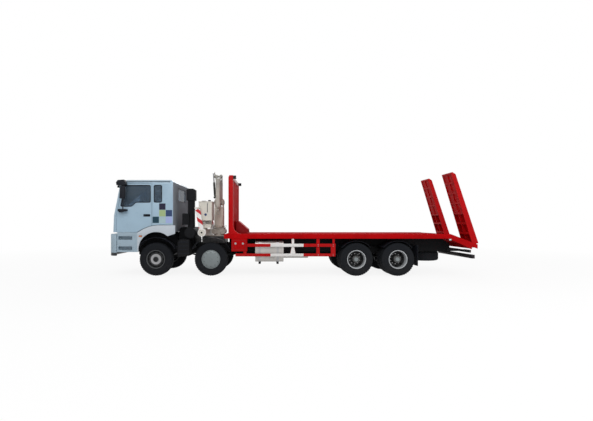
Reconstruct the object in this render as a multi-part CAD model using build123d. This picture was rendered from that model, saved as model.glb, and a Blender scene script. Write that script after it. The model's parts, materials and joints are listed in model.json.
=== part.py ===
from build123d import *
import math
import os

# Crane truck: 8x4 cab-over lorry with a loading bed, tail ramps and a folding crane.
# Millimetres. X points forward, Y to the left side, Z up; the ground is Z = 0.

# Overall plan
FRONT_OVERHANG = 1490.0
AXLE_1_TO_2 = 1790.0
AXLE_2_TO_3 = 4710.0
AXLE_3_TO_4 = 1340.0
REAR_OVERHANG = 2595.0
LENGTH = FRONT_OVERHANG + AXLE_1_TO_2 + AXLE_2_TO_3 + AXLE_3_TO_4 + REAR_OVERHANG
HALF_WIDTH = 1245.0
X_FRONT = LENGTH / 2
X_REAR = -LENGTH / 2
X_AXLE_1 = X_FRONT - FRONT_OVERHANG
X_AXLE_2 = X_AXLE_1 - AXLE_1_TO_2
X_AXLE_3 = X_AXLE_2 - AXLE_2_TO_3
X_AXLE_4 = X_AXLE_3 - AXLE_3_TO_4

# Clearances
SEAT = 0.3
PIN_PLAY = 0.5
SLIDE_PLAY = 0.8
MOVING_GAP = 8.0
DOOR_GAP = 6.0
GLASS_GAP = 0.5

# Wheels
TYRE_R = 540.0
TYRE_W = 313.0
RIM_SEAT_R = 284.0
RIM_FLANGE_R = 302.0
FRONT_WHEEL_Y = HALF_WIDTH - 227.0
DUAL_OUTER_Y = HALF_WIDTH - 162.0
DUAL_SPACING = 340.0
DUAL_INNER_Y = DUAL_OUTER_Y - DUAL_SPACING
DUAL_MID_Y = (DUAL_OUTER_Y + DUAL_INNER_Y) / 2
HUB_Z = TYRE_R
KINGPIN_Y = FRONT_WHEEL_Y - 188.0
KINGPIN_R = 24.0
SPINDLE_R = 45.0
REAR_SPINDLE_R = 62.0

# Chassis
RAIL_Y = DUAL_INNER_Y - TYRE_W
RAIL_WEB = 10.0
RAIL_FLANGE = 80.0
RAIL_Z0 = 735.0
RAIL_Z1 = 1030.0
RAIL_FRONT = X_AXLE_1 + 1210.0
RAIL_REAR = X_REAR + 560.0

# Cab, measured from axle 1
CAB_Z0 = 1420.0
CAB_WALL = 55.0
CAB_REAR = X_AXLE_1 - 590.0
CAB_NOSE = X_AXLE_1 + 1400.0
CAB_KNEE_X = X_AXLE_1 + 1378.0
CAB_KNEE_Z = 1960.0
CAB_BROW_X = X_AXLE_1 + 1190.0
ROOF_Z = 3120.0
CAB_BROW_Z = ROOF_Z - 220.0
CAB_CORNER = 170.0
DOOR_FRONT = X_AXLE_1 + 1235.0
DOOR_REAR = X_AXLE_1 + 105.0
DOOR_TOP = ROOF_Z - 130.0
DOOR_Z0 = CAB_Z0 + 12.0
DOOR_KINK_Z = CAB_KNEE_Z + 30.0
DOOR_RAKE = 200.0
WINDOW_Z1 = DOOR_TOP - 55.0
WINDOW_Z0 = WINDOW_Z1 - 552.0
WINDOW_DIP_Z = WINDOW_Z0 - 131.0
WINDOW_SIDE = 37.0
TILT_X = CAB_NOSE - 30.0
TILT_Z = CAB_Z0 - 30.0
HINGE_R = 13.0

# Lower front panels
BUMPER_Z0 = 660.0
BUMPER_Z1 = 1368.0
BUMPER_WALL = 60.0
FENDER_Y0 = HALF_WIDTH - CAB_WALL
ARCH_X = X_AXLE_1 - 30.0
ARCH_Z = 856.0
ARCH_R = 571.0
FENDER_Z1 = 1646.0
FENDER_GAP = 12.0

# Loading bed
BED_HALF = HALF_WIDTH + 5.0
BED_FRONT = X_AXLE_1 - 2225.0
DECK_Z1 = 1362.0
BED_RAIL_H = 148.0
BED_RAIL_W = 90.0
DECK_PLATE = 18.0
DECK_DROP = 6.0
TAIL_PLATE = 25.0
DECK_Z0 = DECK_Z1 - BED_RAIL_H
CROSS_DEPTH = 100.0
BEARER_Z1 = DECK_Z1 - DECK_PLATE - CROSS_DEPTH
SLOPE_X = X_REAR + 900.0
SLOPE_END_Z = 1022.0
BOARD_FRONT = BED_FRONT - 140.0
BOARD_THICK = 150.0
BOARD_TOP = 3260.0

# Tail ramps, drawn flat behind the hinge and then raised
RAMP_LENGTH = 2500.0
RAMP_WIDTH = 660.0
RAMP_ROOT = 62.0
RAMP_TOP = 20.0
RAMP_DEPTH = 195.0
RAMP_TIP_DEPTH = 125.0
RAMP_LEAN = 16.6
RAMP_PIN_R = 20.0
RAMP_RUNG_STEP = 345.0
RAMP_BACK = (RAMP_DEPTH - RAMP_TOP) * math.cos(math.radians(RAMP_LEAN)) \
    - RAMP_ROOT * math.sin(math.radians(RAMP_LEAN))
RAMP_X = X_REAR + RAMP_BACK
RAMP_Z = 962.0

# Crane, measured from its slewing axis
CRANE_X = X_AXLE_1 - 1915.0
SLEW_R = 190.0
SLEW_Z = 1560.0
SPIGOT_R = 120.0
BOOM_Y = 0.0
BOOM_Z = 2450.0
BOOM_HALF = 112.0
BOOM_DEPTH = 230.0
BOOM_CUT = 38.0
CHEEK = 38.0
ELBOW_Y = 180.0
ELBOW_Z = 3345.0
JIB_Y = ELBOW_Y + 148.0
JIB_HALF = 78.0
JIB_DEPTH = 190.0
JIB_CUT = 28.0
JIB_TIP_Z = 2300.0
JIB_WALL = 10.0
FORK = 22.0
LIFT_FOOT = (-255.0, 1700.0)
LIFT_EYE = (-190.0, 2900.0)
LIFT_EYE_HALF = 34.0
LIFT_EYE_R = 44.0
LIFT_PIN_R = 27.0
LIFT_BARREL = 630.0
LIFT_ROD_START = 612.0
JIBCYL_X = 178.0
JIBCYL_FOOT = (-172.0, 2640.0)
JIBCYL_ARM = (41.0, 113.0)
JIBCYL_PIN_R = 24.0
JIBCYL_BARREL = 560.0
JIBCYL_ROD_START = 430.0
OIL_X0 = CRANE_X + 95.0
OIL_X1 = CRANE_X + 525.0

# Outriggers
RIGGER_X = CRANE_X + 405.0
RIGGER_Z = 1410.0
RIGGER_H = 200.0
RIGGER_BOX_Y = HALF_WIDTH - 155.0
RIGGER_WALL = 14.0
LEG_Y0 = RIGGER_BOX_Y + 96.0
LEG_Y1 = LEG_Y0 + 88.0
LEG_W = 150.0
LEG_LENGTH = 760.0
LEG_LEAN = 10.0
FOOT_REACH = 70.0
FOOT_END = LEG_LENGTH + FOOT_REACH


def block(x0, x1, y0, y1, z0, z1):
    middle = Pos((x0 + x1) / 2, (y0 + y1) / 2, (z0 + z1) / 2)
    return middle * Box(abs(x1 - x0), abs(y1 - y0), abs(z1 - z0))


def bar_x(x0, x1, y, z, r):
    return Pos((x0 + x1) / 2, y, z) * Rot(0, 90, 0) * Cylinder(r, abs(x1 - x0))


def bar_y(x, y0, y1, z, r):
    return Pos(x, (y0 + y1) / 2, z) * Rot(90, 0, 0) * Cylinder(r, abs(y1 - y0))


def bar_z(x, y, z0, z1, r):
    return Pos(x, y, (z0 + z1) / 2) * Cylinder(r, abs(z1 - z0))


def plate_y(points, y0, y1, round_r=0.0):
    face = make_face(Polyline(*[(x, y0, z) for x, z in points], close=True))
    if round_r:
        face = fillet(face.vertices(), round_r)
    return extrude(face, amount=y1 - y0, dir=(0, 1, 0))


def plate_x(points, x0, x1, round_r=0.0):
    face = make_face(Polyline(*[(x0, y, z) for y, z in points], close=True))
    if round_r:
        face = fillet(face.vertices(), round_r)
    return extrude(face, amount=x1 - x0, dir=(1, 0, 0))


def plate_z(points, z0, z1, round_r=0.0):
    face = make_face(Polyline(*[(x, y, z0) for x, y in points], close=True))
    if round_r:
        face = fillet(face.vertices(), round_r)
    return extrude(face, amount=z1 - z0, dir=(0, 0, 1))


def rect(a0, a1, b0, b1):
    return [(a0, b0), (a1, b0), (a1, b1), (a0, b1)]


def turned_y(profile, x, z):
    face = make_face(Polyline(*[(x + r, y, z) for r, y in profile], close=True))
    return revolve(face, axis=Axis((x, 0, z), (0, 1, 0)))


def ring_arc_y(x, z, r0, r1, from_deg, to_deg, y0, y1):
    a = math.radians(from_deg)
    b = math.radians(to_deg)
    m = (a + b) / 2

    def at(r, t):
        return (x + r * math.cos(t), y0, z + r * math.sin(t))

    edges = [
        ThreePointArc(at(r0, a), at(r0, m), at(r0, b)),
        Line(at(r0, b), at(r1, b)),
        ThreePointArc(at(r1, b), at(r1, m), at(r1, a)),
        Line(at(r1, a), at(r0, a)),
    ]
    return extrude(make_face(edges), amount=y1 - y0, dir=(0, 1, 0))


def mirrored(shape):
    return mirror(shape, about=Plane.XZ)


def pair(shape):
    return [shape, mirrored(shape)]


def joined(*shapes):
    flat = []
    for shape in shapes:
        flat.extend(shape if isinstance(shape, (list, tuple)) else [shape])
    whole = flat[0]
    if len(flat) > 1:
        whole = whole + flat[1:]
    return whole


def save(name, *shapes):
    solids = []
    for shape in shapes:
        for one in shape if isinstance(shape, (list, tuple)) else [shape]:
            solids.extend(one.solids())
    export_step(Compound(solids) if len(solids) > 1 else solids[0], f"parts/{name}.step")


os.makedirs("parts", exist_ok=True)

# Tyres and rims

def tyre_at(x, y):
    half = TYRE_W / 2
    seat = RIM_SEAT_R + SEAT
    profile = [
        (seat, y - half + 40),
        (RIM_FLANGE_R + 8, y - half + 22),
        (400, y - half),
        (470, y - half + 6),
        (512, y - half + 18),
        (TYRE_R - 6, y - half + 42),
        (TYRE_R, y - half + 80),
        (TYRE_R, y + half - 80),
        (TYRE_R - 6, y + half - 42),
        (512, y + half - 18),
        (470, y + half - 6),
        (400, y + half),
        (RIM_FLANGE_R + 8, y + half - 22),
        (seat, y + half - 40),
    ]
    return turned_y(profile, x, HUB_Z)


def rim_barrel(x, y, z=HUB_Z):
    half = TYRE_W / 2
    profile = [
        (RIM_FLANGE_R, y - half + 12),
        (RIM_FLANGE_R, y - half + 20),
        (RIM_SEAT_R, y - half + 38),
        (RIM_SEAT_R, y + half - 38),
        (RIM_FLANGE_R, y + half - 20),
        (RIM_FLANGE_R, y + half - 12),
        (RIM_FLANGE_R - 22, y + half - 12),
        (RIM_SEAT_R - 14, y + half - 44),
        (RIM_SEAT_R - 14, y - half + 44),
        (RIM_FLANGE_R - 22, y - half + 12),
    ]
    return turned_y(profile, x, z)


def hand_holes(x, y, r, count, pitch_r, z=HUB_Z):
    holes = []
    for i in range(count):
        t = 2 * math.pi * i / count
        holes.append(bar_y(x + pitch_r * math.cos(t), y - 90, y + 90, z + pitch_r * math.sin(t), r))
    return holes


def front_rim(x):
    y = FRONT_WHEEL_Y
    disc = turned_y([(271, y + 40), (271, y + 62), (215, y + 108), (140, y + 108),
                     (140, y + 92), (208, y + 92)], x, HUB_Z)
    hub = turned_y([(0, y + 158), (62, y + 158), (88, y + 140), (92, y + 108), (142, y + 108),
                    (142, y + 88), (118, y + 60), (118, y - 58), (0, y - 58)], x, HUB_Z)
    drum = turned_y([(205, y - 62), (205, y + 40), (118, y + 56), (118, y + 40), (190, y + 28),
                     (190, y - 62)], x, HUB_Z)
    bore = bar_y(x, y - 70, y + 80, HUB_Z, SPINDLE_R + PIN_PLAY)
    body = joined(rim_barrel(x, y), disc, hub, drum)
    return body - hand_holes(x, y + 80, 26, 10, 236) - bore


def dual_rim(x):
    out_y = DUAL_OUTER_Y
    in_y = DUAL_INNER_Y
    mid = DUAL_MID_Y
    outer_disc = turned_y([(271, out_y - 52), (271, out_y - 30), (205, mid + 18), (120, mid + 18),
                           (120, mid), (198, mid)], x, HUB_Z)
    inner_disc = turned_y([(271, in_y + 52), (271, in_y + 30), (205, mid - 18), (120, mid - 18),
                           (120, mid), (198, mid)], x, HUB_Z)
    hub = turned_y([(0, out_y + 92), (78, out_y + 92), (112, out_y + 62), (122, out_y - 20),
                    (140, mid + 40), (140, mid - 60), (118, mid - 90), (118, in_y - 120),
                    (0, in_y - 120)], x, HUB_Z)
    drum = turned_y([(212, in_y - 122), (212, mid - 70), (130, mid - 52), (118, mid - 70),
                     (196, mid - 84), (196, in_y - 122)], x, HUB_Z)
    bore = bar_y(x, in_y - 130, mid + 60, HUB_Z, REAR_SPINDLE_R + PIN_PLAY)
    body = joined(rim_barrel(x, out_y), rim_barrel(x, in_y), outer_disc, inner_disc, hub, drum)
    return body - hand_holes(x, mid, 24, 8, 237) - bore


FRONT_AXLES = (("1", X_AXLE_1), ("2", X_AXLE_2))
REAR_AXLES = (("3", X_AXLE_3), ("4", X_AXLE_4))
for axle, x in FRONT_AXLES:
    tyre = tyre_at(x, FRONT_WHEEL_Y)
    rim = front_rim(x)
    save(f"tyre_{axle}l", tyre)
    save(f"tyre_{axle}r", mirrored(tyre))
    save(f"rim_{axle}l", rim)
    save(f"rim_{axle}r", mirrored(rim))
for axle, x in REAR_AXLES:
    tyres = [tyre_at(x, DUAL_OUTER_Y), tyre_at(x, DUAL_INNER_Y)]
    rim = dual_rim(x)
    save(f"tyre_{axle}l", tyres)
    save(f"tyre_{axle}r", [mirrored(t) for t in tyres])
    save(f"rim_{axle}l", rim)
    save(f"rim_{axle}r", mirrored(rim))

# Axles, springs and steering knuckles
BEAM_Z = 452.0
BEAM_DEPTH = 75.0
EYE_Z0 = HUB_Z - 85.0
EYE_Z1 = HUB_Z + 85.0
EYE_R = 52.0
SPRING_W = 90.0
SPRING_HALF = 760.0
SPRING_SEAT_Z = 515.0
SPRING_EYE_Z = 655.0
SPRING_THICK = 85.0
LEAF_END = 30.0


def leaf_pack(x, y, half, end_z, mid_z, thick, lift):
    arch = [
        ThreePointArc((x - half, y, end_z), (x, y, mid_z), (x + half, y, end_z)),
        Line((x + half, y, end_z), (x + half, y, end_z + lift)),
        ThreePointArc((x + half, y, end_z + lift), (x, y, mid_z + thick), (x - half, y, end_z + lift)),
        Line((x - half, y, end_z + lift), (x - half, y, end_z)),
    ]
    return extrude(make_face(arch), amount=SPRING_W, dir=(0, 1, 0))


BEAM_LINE = ((-30.0, EYE_Z1 - 35.0), (-190.0, BEAM_Z + 48.0), (-310.0, BEAM_Z - 55.0))
axle_solids = []
for axle, x in FRONT_AXLES:
    upper = [(KINGPIN_Y + dy, z) for dy, z in BEAM_LINE]
    lower = [(KINGPIN_Y + dy + 20 * i, z - BEAM_DEPTH) for i, (dy, z) in enumerate(BEAM_LINE)]
    outline = [(-y, z) for y, z in upper] + [(y, z) for y, z in reversed(upper)]
    outline = outline + [(y, z) for y, z in lower] + [(-y, z) for y, z in reversed(lower)]
    beam = plate_x(outline, x - 45, x + 45)
    eyes = pair(bar_z(x, KINGPIN_Y, EYE_Z0, EYE_Z1, EYE_R))
    seats = pair(block(x - 110, x + 110, RAIL_Y - 55, RAIL_Y + 55, BEAM_Z - 60, SPRING_SEAT_Z + 5))
    bores = pair(bar_z(x, KINGPIN_Y, EYE_Z0 - 20, EYE_Z1 + 20, KINGPIN_R + PIN_PLAY))
    packs = pair(leaf_pack(x, RAIL_Y - SPRING_W / 2, SPRING_HALF, SPRING_EYE_Z, SPRING_SEAT_Z,
                           SPRING_THICK, LEAF_END))
    hangers = []
    for end in (-1, 1):
        hangers += pair(block(x + end * (SPRING_HALF - 45), x + end * (SPRING_HALF + 5),
                              RAIL_Y - 45, RAIL_Y + 45, SPRING_EYE_Z - 15, RAIL_Z0))
    axle_solids.append(joined(beam, eyes, seats, packs, hangers) - bores)

mid_x = (X_AXLE_3 + X_AXLE_4) / 2
HUB_BACK = 132.0
BOGIE_Y = RAIL_Y + 40.0
BOGIE_PAD_Z = HUB_Z + 128.0
BOGIE_ARCH = 92.0
BOGIE_THICK = 130.0
for axle, x in REAR_AXLES:
    tube = bar_y(x, -DUAL_INNER_Y + HUB_BACK, DUAL_INNER_Y - HUB_BACK, HUB_Z, 92)
    spindles = bar_y(x, -DUAL_MID_Y - 40, DUAL_MID_Y + 40, HUB_Z, REAR_SPINDLE_R)
    bowl = Pos(x, 0, HUB_Z) * Sphere(225)
    nose = bar_x(x, x + 330, 0, HUB_Z + 40, 105)
    pads = pair(block(x - 70, x + 70, BOGIE_Y, BOGIE_Y + SPRING_W, HUB_Z + 60, BOGIE_PAD_Z))
    axle_solids.append(joined(tube, spindles, bowl, nose, pads))
half_span = AXLE_3_TO_4 / 2 + 70
bogie = pair(leaf_pack(mid_x, BOGIE_Y, half_span, BOGIE_PAD_Z, BOGIE_PAD_Z + BOGIE_ARCH, BOGIE_THICK, LEAF_END))
saddles = pair(block(mid_x - 130, mid_x + 130, RAIL_Y, BOGIE_Y + SPRING_W + 15, 690, 930))
cross = bar_y(mid_x, -RAIL_Y - 20, RAIL_Y + 20, BOGIE_PAD_Z, 60)
axle_solids.append(joined(bogie, saddles, cross))
save("axles_and_springs", axle_solids)

KNUCKLE_LUG = 40.0
KNUCKLE_HALF = 48.0
for axle, x in FRONT_AXLES:
    lug = rect(x - KNUCKLE_HALF, x + KNUCKLE_HALF, KINGPIN_Y - 45, KINGPIN_Y + 92)
    top = plate_z(lug, EYE_Z1 + MOVING_GAP, EYE_Z1 + MOVING_GAP + KNUCKLE_LUG)
    low = plate_z(lug, EYE_Z0 - MOVING_GAP - KNUCKLE_LUG, EYE_Z0 - MOVING_GAP)
    web = block(x - KNUCKLE_HALF, x + KNUCKLE_HALF, KINGPIN_Y + 62, KINGPIN_Y + 92,
                EYE_Z0 - MOVING_GAP - KNUCKLE_LUG, EYE_Z1 + MOVING_GAP + KNUCKLE_LUG)
    pin = bar_z(x, KINGPIN_Y, EYE_Z0 - 60, EYE_Z1 + 60, KINGPIN_R)
    plate = bar_y(x, KINGPIN_Y + 80, KINGPIN_Y + 98, HUB_Z, 180)
    stub = bar_y(x, KINGPIN_Y + 80, FRONT_WHEEL_Y + 60, HUB_Z, SPINDLE_R)
    arm = block(x - 250, x - 40, KINGPIN_Y - 30, KINGPIN_Y + 20, EYE_Z0 - MOVING_GAP - KNUCKLE_LUG, EYE_Z0 - 16)
    knuckle = joined(top, low, web, pin, plate, stub, arm)
    save(f"knuckle_{axle}l", knuckle)
    save(f"knuckle_{axle}r", mirrored(knuckle))

# Chassis ladder: channels, cross members and brackets
rails = []
for side in (1, -1):
    outer = side * RAIL_Y
    web = block(RAIL_REAR, RAIL_FRONT, outer, outer - side * RAIL_WEB, RAIL_Z0, RAIL_Z1)
    low = block(RAIL_REAR, RAIL_FRONT, outer, outer - side * RAIL_FLANGE, RAIL_Z0, RAIL_Z0 + RAIL_WEB)
    top = block(RAIL_REAR, RAIL_FRONT, outer, outer - side * RAIL_FLANGE, RAIL_Z1 - RAIL_WEB, RAIL_Z1)
    rails.append(joined(web, low, top))
CROSSMEMBERS = (X_AXLE_1 + 1150, X_AXLE_1 - 1560, X_AXLE_2 - 900, X_AXLE_2 - 1780, X_AXLE_3 + 1500,
                X_AXLE_3 + 420, mid_x, X_AXLE_4 - 480, X_AXLE_4 - 1050, RAIL_REAR + 60)
crosses = [block(x - 45, x + 45, -RAIL_Y + RAIL_WEB, RAIL_Y - RAIL_WEB, RAIL_Z0 + 60, RAIL_Z1 - 20)
           for x in CROSSMEMBERS]
TANK_X1 = X_AXLE_2 - 1436.0
TANK_X0 = TANK_X1 - 921.0
TANK_Y1 = HALF_WIDTH - 95.0
TANK_Y0 = RAIL_Y + 52.0
TANK_Z0 = 455.0
TANK_Z1 = 1130.0
STRAP_XS = (TANK_X1 - 140.0, TANK_X0 + 190.0)
TANK_FOOT = 75.0
tank_arms = []
for x in STRAP_XS:
    riser = block(x - 35, x + 35, RAIL_Y, TANK_Y0, TANK_Z0 - TANK_FOOT, RAIL_Z1 - 60)
    tray = block(x - 35, x + 35, RAIL_Y, TANK_Y1 - 90, TANK_Z0 - TANK_FOOT, TANK_Z0)
    tank_arms.append(joined(riser, tray))
POST_Y = RAIL_Y - 30.0
TILT_PIN_R = 20.0
TILT_HEAD_R = TILT_PIN_R + 2.0
cab_posts = []
for side in (1, -1):
    y0, y1 = sorted((side * (POST_Y - 12), side * (POST_Y + 12)))
    stalk = plate_y([(RAIL_FRONT - 150, RAIL_Z1), (RAIL_FRONT, RAIL_Z1), (RAIL_FRONT + 20, TILT_Z - 210),
                     (TILT_X + 18, TILT_Z - 60), (TILT_X + 18, TILT_Z), (TILT_X - 20, TILT_Z),
                     (RAIL_FRONT - 150, TILT_Z - 210)], y0, y1)
    head = bar_y(TILT_X, y0, y1, TILT_Z, TILT_HEAD_R)
    pin = bar_y(TILT_X, side * POST_Y, side * (RAIL_Y + 32), TILT_Z, TILT_PIN_R)
    cab_posts.append(joined(stalk, head, pin))
bumper_arms = pair(block(RAIL_FRONT, X_FRONT - BUMPER_WALL, RAIL_Y - 80, RAIL_Y - 8, 770, 900))
STEP_X0 = X_AXLE_1 + 690.0
STEP_X1 = DOOR_FRONT - 7.0
STEP_Y0 = FENDER_Y0 - 190.0
step_arms = pair(block(STEP_X0 + 190, STEP_X0 + 250, RAIL_Y, STEP_Y0, 850, 910))
saddle_rear = pair(block(CAB_REAR + 60, CAB_REAR + 160, RAIL_Y - 60, RAIL_Y, RAIL_Z1, CAB_Z0 - MOVING_GAP))
save("chassis_frame", rails, crosses, tank_arms, cab_posts, bumper_arms, step_arms, saddle_rear)

# Engine, gearbox, propeller shafts, silencer, battery boxes and air intake
ENGINE_HALF = RAIL_Y - 100.0
GEARBOX_HALF = RAIL_Y - 190.0
SHAFT_Z = HUB_Z + 115.0
SHAFT_2_Z = HUB_Z + 16.0
engine = plate_y([(X_AXLE_1 + 820, 640), (X_AXLE_1 + 860, 1280), (X_AXLE_1 - 420, 1330),
                  (X_AXLE_1 - 480, 700), (X_AXLE_1 - 300, 570), (X_AXLE_1 + 420, 570)],
                 -ENGINE_HALF, ENGINE_HALF)
gearbox = plate_y([(X_AXLE_1 - 470, 690), (X_AXLE_1 - 470, 1120), (X_AXLE_1 - 900, 1020),
                   (X_AXLE_1 - 1400, 930), (X_AXLE_1 - 1400, 650)], -GEARBOX_HALF, GEARBOX_HALF)
shaft_1 = bar_x(X_AXLE_3 + 330, X_AXLE_1 - 1390, 0, SHAFT_Z, 58)
shaft_2 = bar_x(X_AXLE_4 + 330, X_AXLE_3 - 230, 0, SHAFT_2_Z, 44)
SILENCER_X = X_AXLE_2 - 1672.0
SILENCER_Y = RAIL_Y + 370.0
silencer = Pos(SILENCER_X, -SILENCER_Y, 640) * Box(620, 480, 420)
silencer = fillet(silencer.edges().filter_by(Axis.Y), 90)
silencer_arm = block(SILENCER_X - 50, SILENCER_X + 50, -SILENCER_Y + 170, -RAIL_Y, 780, 830)
BATTERY_X0 = X_AXLE_2 + 707.0
BATTERY_X1 = X_AXLE_1 - 702.0
BATTERY_Y1 = HALF_WIDTH - 95.0
battery = plate_y([(BATTERY_X0, 650), (BATTERY_X1, 620), (BATTERY_X1, 1120), (BATTERY_X1 - 60, 1180),
                   (BATTERY_X0, 1180)], RAIL_Y + 130, BATTERY_Y1)
battery_arm = block(BATTERY_X0 + 60, BATTERY_X1 - 60, RAIL_Y, RAIL_Y + 135, 760, 900)
STACK_X0 = CAB_REAR - 650.0
STACK_X1 = CAB_REAR - 370.0
STACK_Y1 = HALF_WIDTH - 235.0
STACK_Y0 = STACK_Y1 - 310.0
STACK_TOP = 2850.0
stack_mid = (STACK_X0 + STACK_X1) / 2
stack = block(STACK_X0 + 40, STACK_X1 - 40, STACK_Y0 + 40, STACK_Y1 - 40, 1560, STACK_TOP - 330)
stack_head = plate_y([(STACK_X0, STACK_TOP - 390), (STACK_X1, STACK_TOP - 390), (STACK_X1, STACK_TOP - 40),
                      (STACK_X1 - 60, STACK_TOP), (STACK_X0 + 60, STACK_TOP), (STACK_X0, STACK_TOP - 40)],
                     STACK_Y0, STACK_Y1)
FILTER_R = 180.0
FILTER_Z = 1400.0
filter_can = bar_y(stack_mid, STACK_Y0 - 140, STACK_Y1 + 110, FILTER_Z, FILTER_R)
filter_arm = block(stack_mid - 60, stack_mid + 60, RAIL_Y - 60, STACK_Y0, RAIL_Z1, FILTER_Z - 140)
intake = joined(stack, stack_head, filter_can, filter_arm)
save("powertrain", joined(engine, gearbox, shaft_1), shaft_2, joined(silencer, silencer_arm), intake,
     pair(joined(battery, battery_arm)))

# Cab body

def cab_solid(inset):
    nose = CAB_NOSE - inset
    knee = CAB_KNEE_X - inset
    brow = CAB_BROW_X - inset
    rear = CAB_REAR + inset
    low = CAB_Z0 + inset
    roof = ROOF_Z - inset
    side = plate_y([(rear, low), (nose, low), (knee, CAB_KNEE_Z), (brow, CAB_BROW_Z),
                    (brow - 110, roof - 50), (brow - 260, roof), (rear + 90, roof),
                    (rear, roof - 80)], -HALF_WIDTH - 50, HALF_WIDTH + 50)
    half = HALF_WIDTH - inset
    corner = CAB_CORNER - inset
    bevel = corner * (1 - math.sqrt(0.5))
    tail = rear - 900

    def outline(front, z):
        return [
            Line((tail, -half, z), (front - corner, -half, z)),
            ThreePointArc((front - corner, -half, z), (front - bevel, -half + bevel, z), (front, -half + corner, z)),
            Line((front, -half + corner, z), (front, half - corner, z)),
            ThreePointArc((front, half - corner, z), (front - bevel, half - bevel, z), (front - corner, half, z)),
            Line((front - corner, half, z), (tail, half, z)),
            Line((tail, half, z), (tail, -half, z)),
        ]

    def slanted(front, z0, dx, z1):
        rise = Vector(dx, 0, z1 - z0)
        return extrude(make_face(outline(front, z0)), amount=rise.length, dir=rise)

    knee_drop = (knee - nose) / (CAB_KNEE_Z - low)
    low_part = slanted(nose, low, knee_drop * (CAB_KNEE_Z - low), CAB_KNEE_Z)
    lean = (brow - knee) / (CAB_BROW_Z - CAB_KNEE_Z)
    above = ROOF_Z + 280 - CAB_KNEE_Z
    top_part = slanted(knee, CAB_KNEE_Z, lean * above, CAB_KNEE_Z + above)
    crown = plate_x([(-half, low - 10), (half, low - 10), (half, roof - 130), (half - 25, roof - 55),
                     (half - 130, roof), (-half + 130, roof), (-half + 25, roof - 55),
                     (-half, roof - 130)], rear - 200, nose + 200)
    return ((low_part + top_part) & side) & crown


cab_outer = cab_solid(0)
cab_inner = cab_solid(CAB_WALL)
shell = cab_outer - cab_inner


FENDER_Z0 = 782.0
FENDER_SILL_Z = CAB_Z0 - 8.0
FENDER_FRONT = DOOR_FRONT - 7.0
FENDER_REAR = X_AXLE_1 - 645.0
FENDER_SWELL = X_AXLE_1 + 560.0
FENDER_CREST = X_AXLE_1 - 110.0
FENDER_MID = (X_AXLE_1 + 240.0, FENDER_Z1 - 63.0)
FENDER_TAIL = (X_AXLE_1 - 400.0, 1290.0)
FENDER_HEEL = X_AXLE_1 + 536.0


def fender_outline(grow):
    top = FENDER_Z1 + grow
    sill = FENDER_SILL_Z + grow
    low = FENDER_Z0 - grow
    front = FENDER_FRONT + grow
    rear = FENDER_REAR - grow
    swell = FENDER_SWELL + grow
    tail = FENDER_TAIL[1] + 83
    return [
        Line((front, 0, low), (front, 0, sill)),
        Line((front, 0, sill), (swell, 0, sill)),
        ThreePointArc((swell, 0, sill), (FENDER_MID[0], 0, FENDER_MID[1] + grow), (FENDER_CREST, 0, top)),
        Line((FENDER_CREST, 0, top), (rear, 0, top)),
        Line((rear, 0, top), (rear, 0, tail)),
        Line((rear, 0, tail), (FENDER_TAIL[0], 0, FENDER_TAIL[1])),
        Line((FENDER_TAIL[0], 0, FENDER_TAIL[1]), (FENDER_HEEL, 0, low)),
        Line((FENDER_HEEL, 0, low), (front, 0, low)),
    ]


fender_room = extrude(make_face(fender_outline(FENDER_GAP)), amount=400, dir=(0, 1, 0))
fender_room = Pos(0, FENDER_Y0 - 6, 0) * fender_room
shell = shell - pair(fender_room)

DOOR_LINE = [(DOOR_FRONT, DOOR_Z0), (DOOR_FRONT, DOOR_KINK_Z), (DOOR_FRONT - DOOR_RAKE, DOOR_TOP),
             (DOOR_REAR, DOOR_TOP), (DOOR_REAR, DOOR_Z0)]
DOOR_GLASS_LINE = [(DOOR_REAR + WINDOW_SIDE, WINDOW_Z0), (DOOR_REAR + 515, WINDOW_Z0),
                   (DOOR_REAR + 640, WINDOW_DIP_Z), (DOOR_FRONT - 125, WINDOW_DIP_Z),
                   (DOOR_FRONT - DOOR_RAKE - 57, WINDOW_Z1), (DOOR_REAR + WINDOW_SIDE, WINDOW_Z1)]
QUARTER_LINE = rect(DOOR_REAR - 327, DOOR_REAR - 73, WINDOW_Z0, WINDOW_Z1)
SCREEN_HALF = HALF_WIDTH - 205.0
SCREEN_LINE = [(-SCREEN_HALF, CAB_KNEE_Z + 50), (SCREEN_HALF, CAB_KNEE_Z + 50),
               (SCREEN_HALF - 40, CAB_BROW_Z - 15), (-SCREEN_HALF + 40, CAB_BROW_Z - 15)]
REAR_WINDOW_HALF = HALF_WIDTH - 685.0
REAR_LINE = rect(-REAR_WINDOW_HALF, REAR_WINDOW_HALF, CAB_BROW_Z - 440, CAB_BROW_Z)
SCREEN_X0 = CAB_NOSE - 500.0
SCREEN_X1 = CAB_NOSE + 100.0


def grown_door(gap):
    return [(DOOR_FRONT + gap, DOOR_Z0 - gap), (DOOR_FRONT + gap, DOOR_KINK_Z),
            (DOOR_FRONT - DOOR_RAKE + gap, DOOR_TOP + gap), (DOOR_REAR - gap, DOOR_TOP + gap),
            (DOOR_REAR - gap, DOOR_Z0 - gap)]


SIDE_Y0 = FENDER_Y0 - 6.0
SIDE_Y1 = HALF_WIDTH + 75.0
PANE_CORNER = 45.0
SCREEN_CORNER = 60.0
door_cut = plate_y(grown_door(DOOR_GAP), SIDE_Y0, SIDE_Y1)
door_body = plate_y(DOOR_LINE, SIDE_Y0, SIDE_Y1)
door_hole = plate_y(DOOR_GLASS_LINE, SIDE_Y0, SIDE_Y1, PANE_CORNER)
quarter_hole = plate_y(QUARTER_LINE, SIDE_Y0, SIDE_Y1, PANE_CORNER)
screen_hole = plate_x(SCREEN_LINE, SCREEN_X0, SCREEN_X1, SCREEN_CORNER)
rear_hole = plate_x(REAR_LINE, CAB_REAR - 50, CAB_REAR + 100, SCREEN_CORNER)

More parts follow.
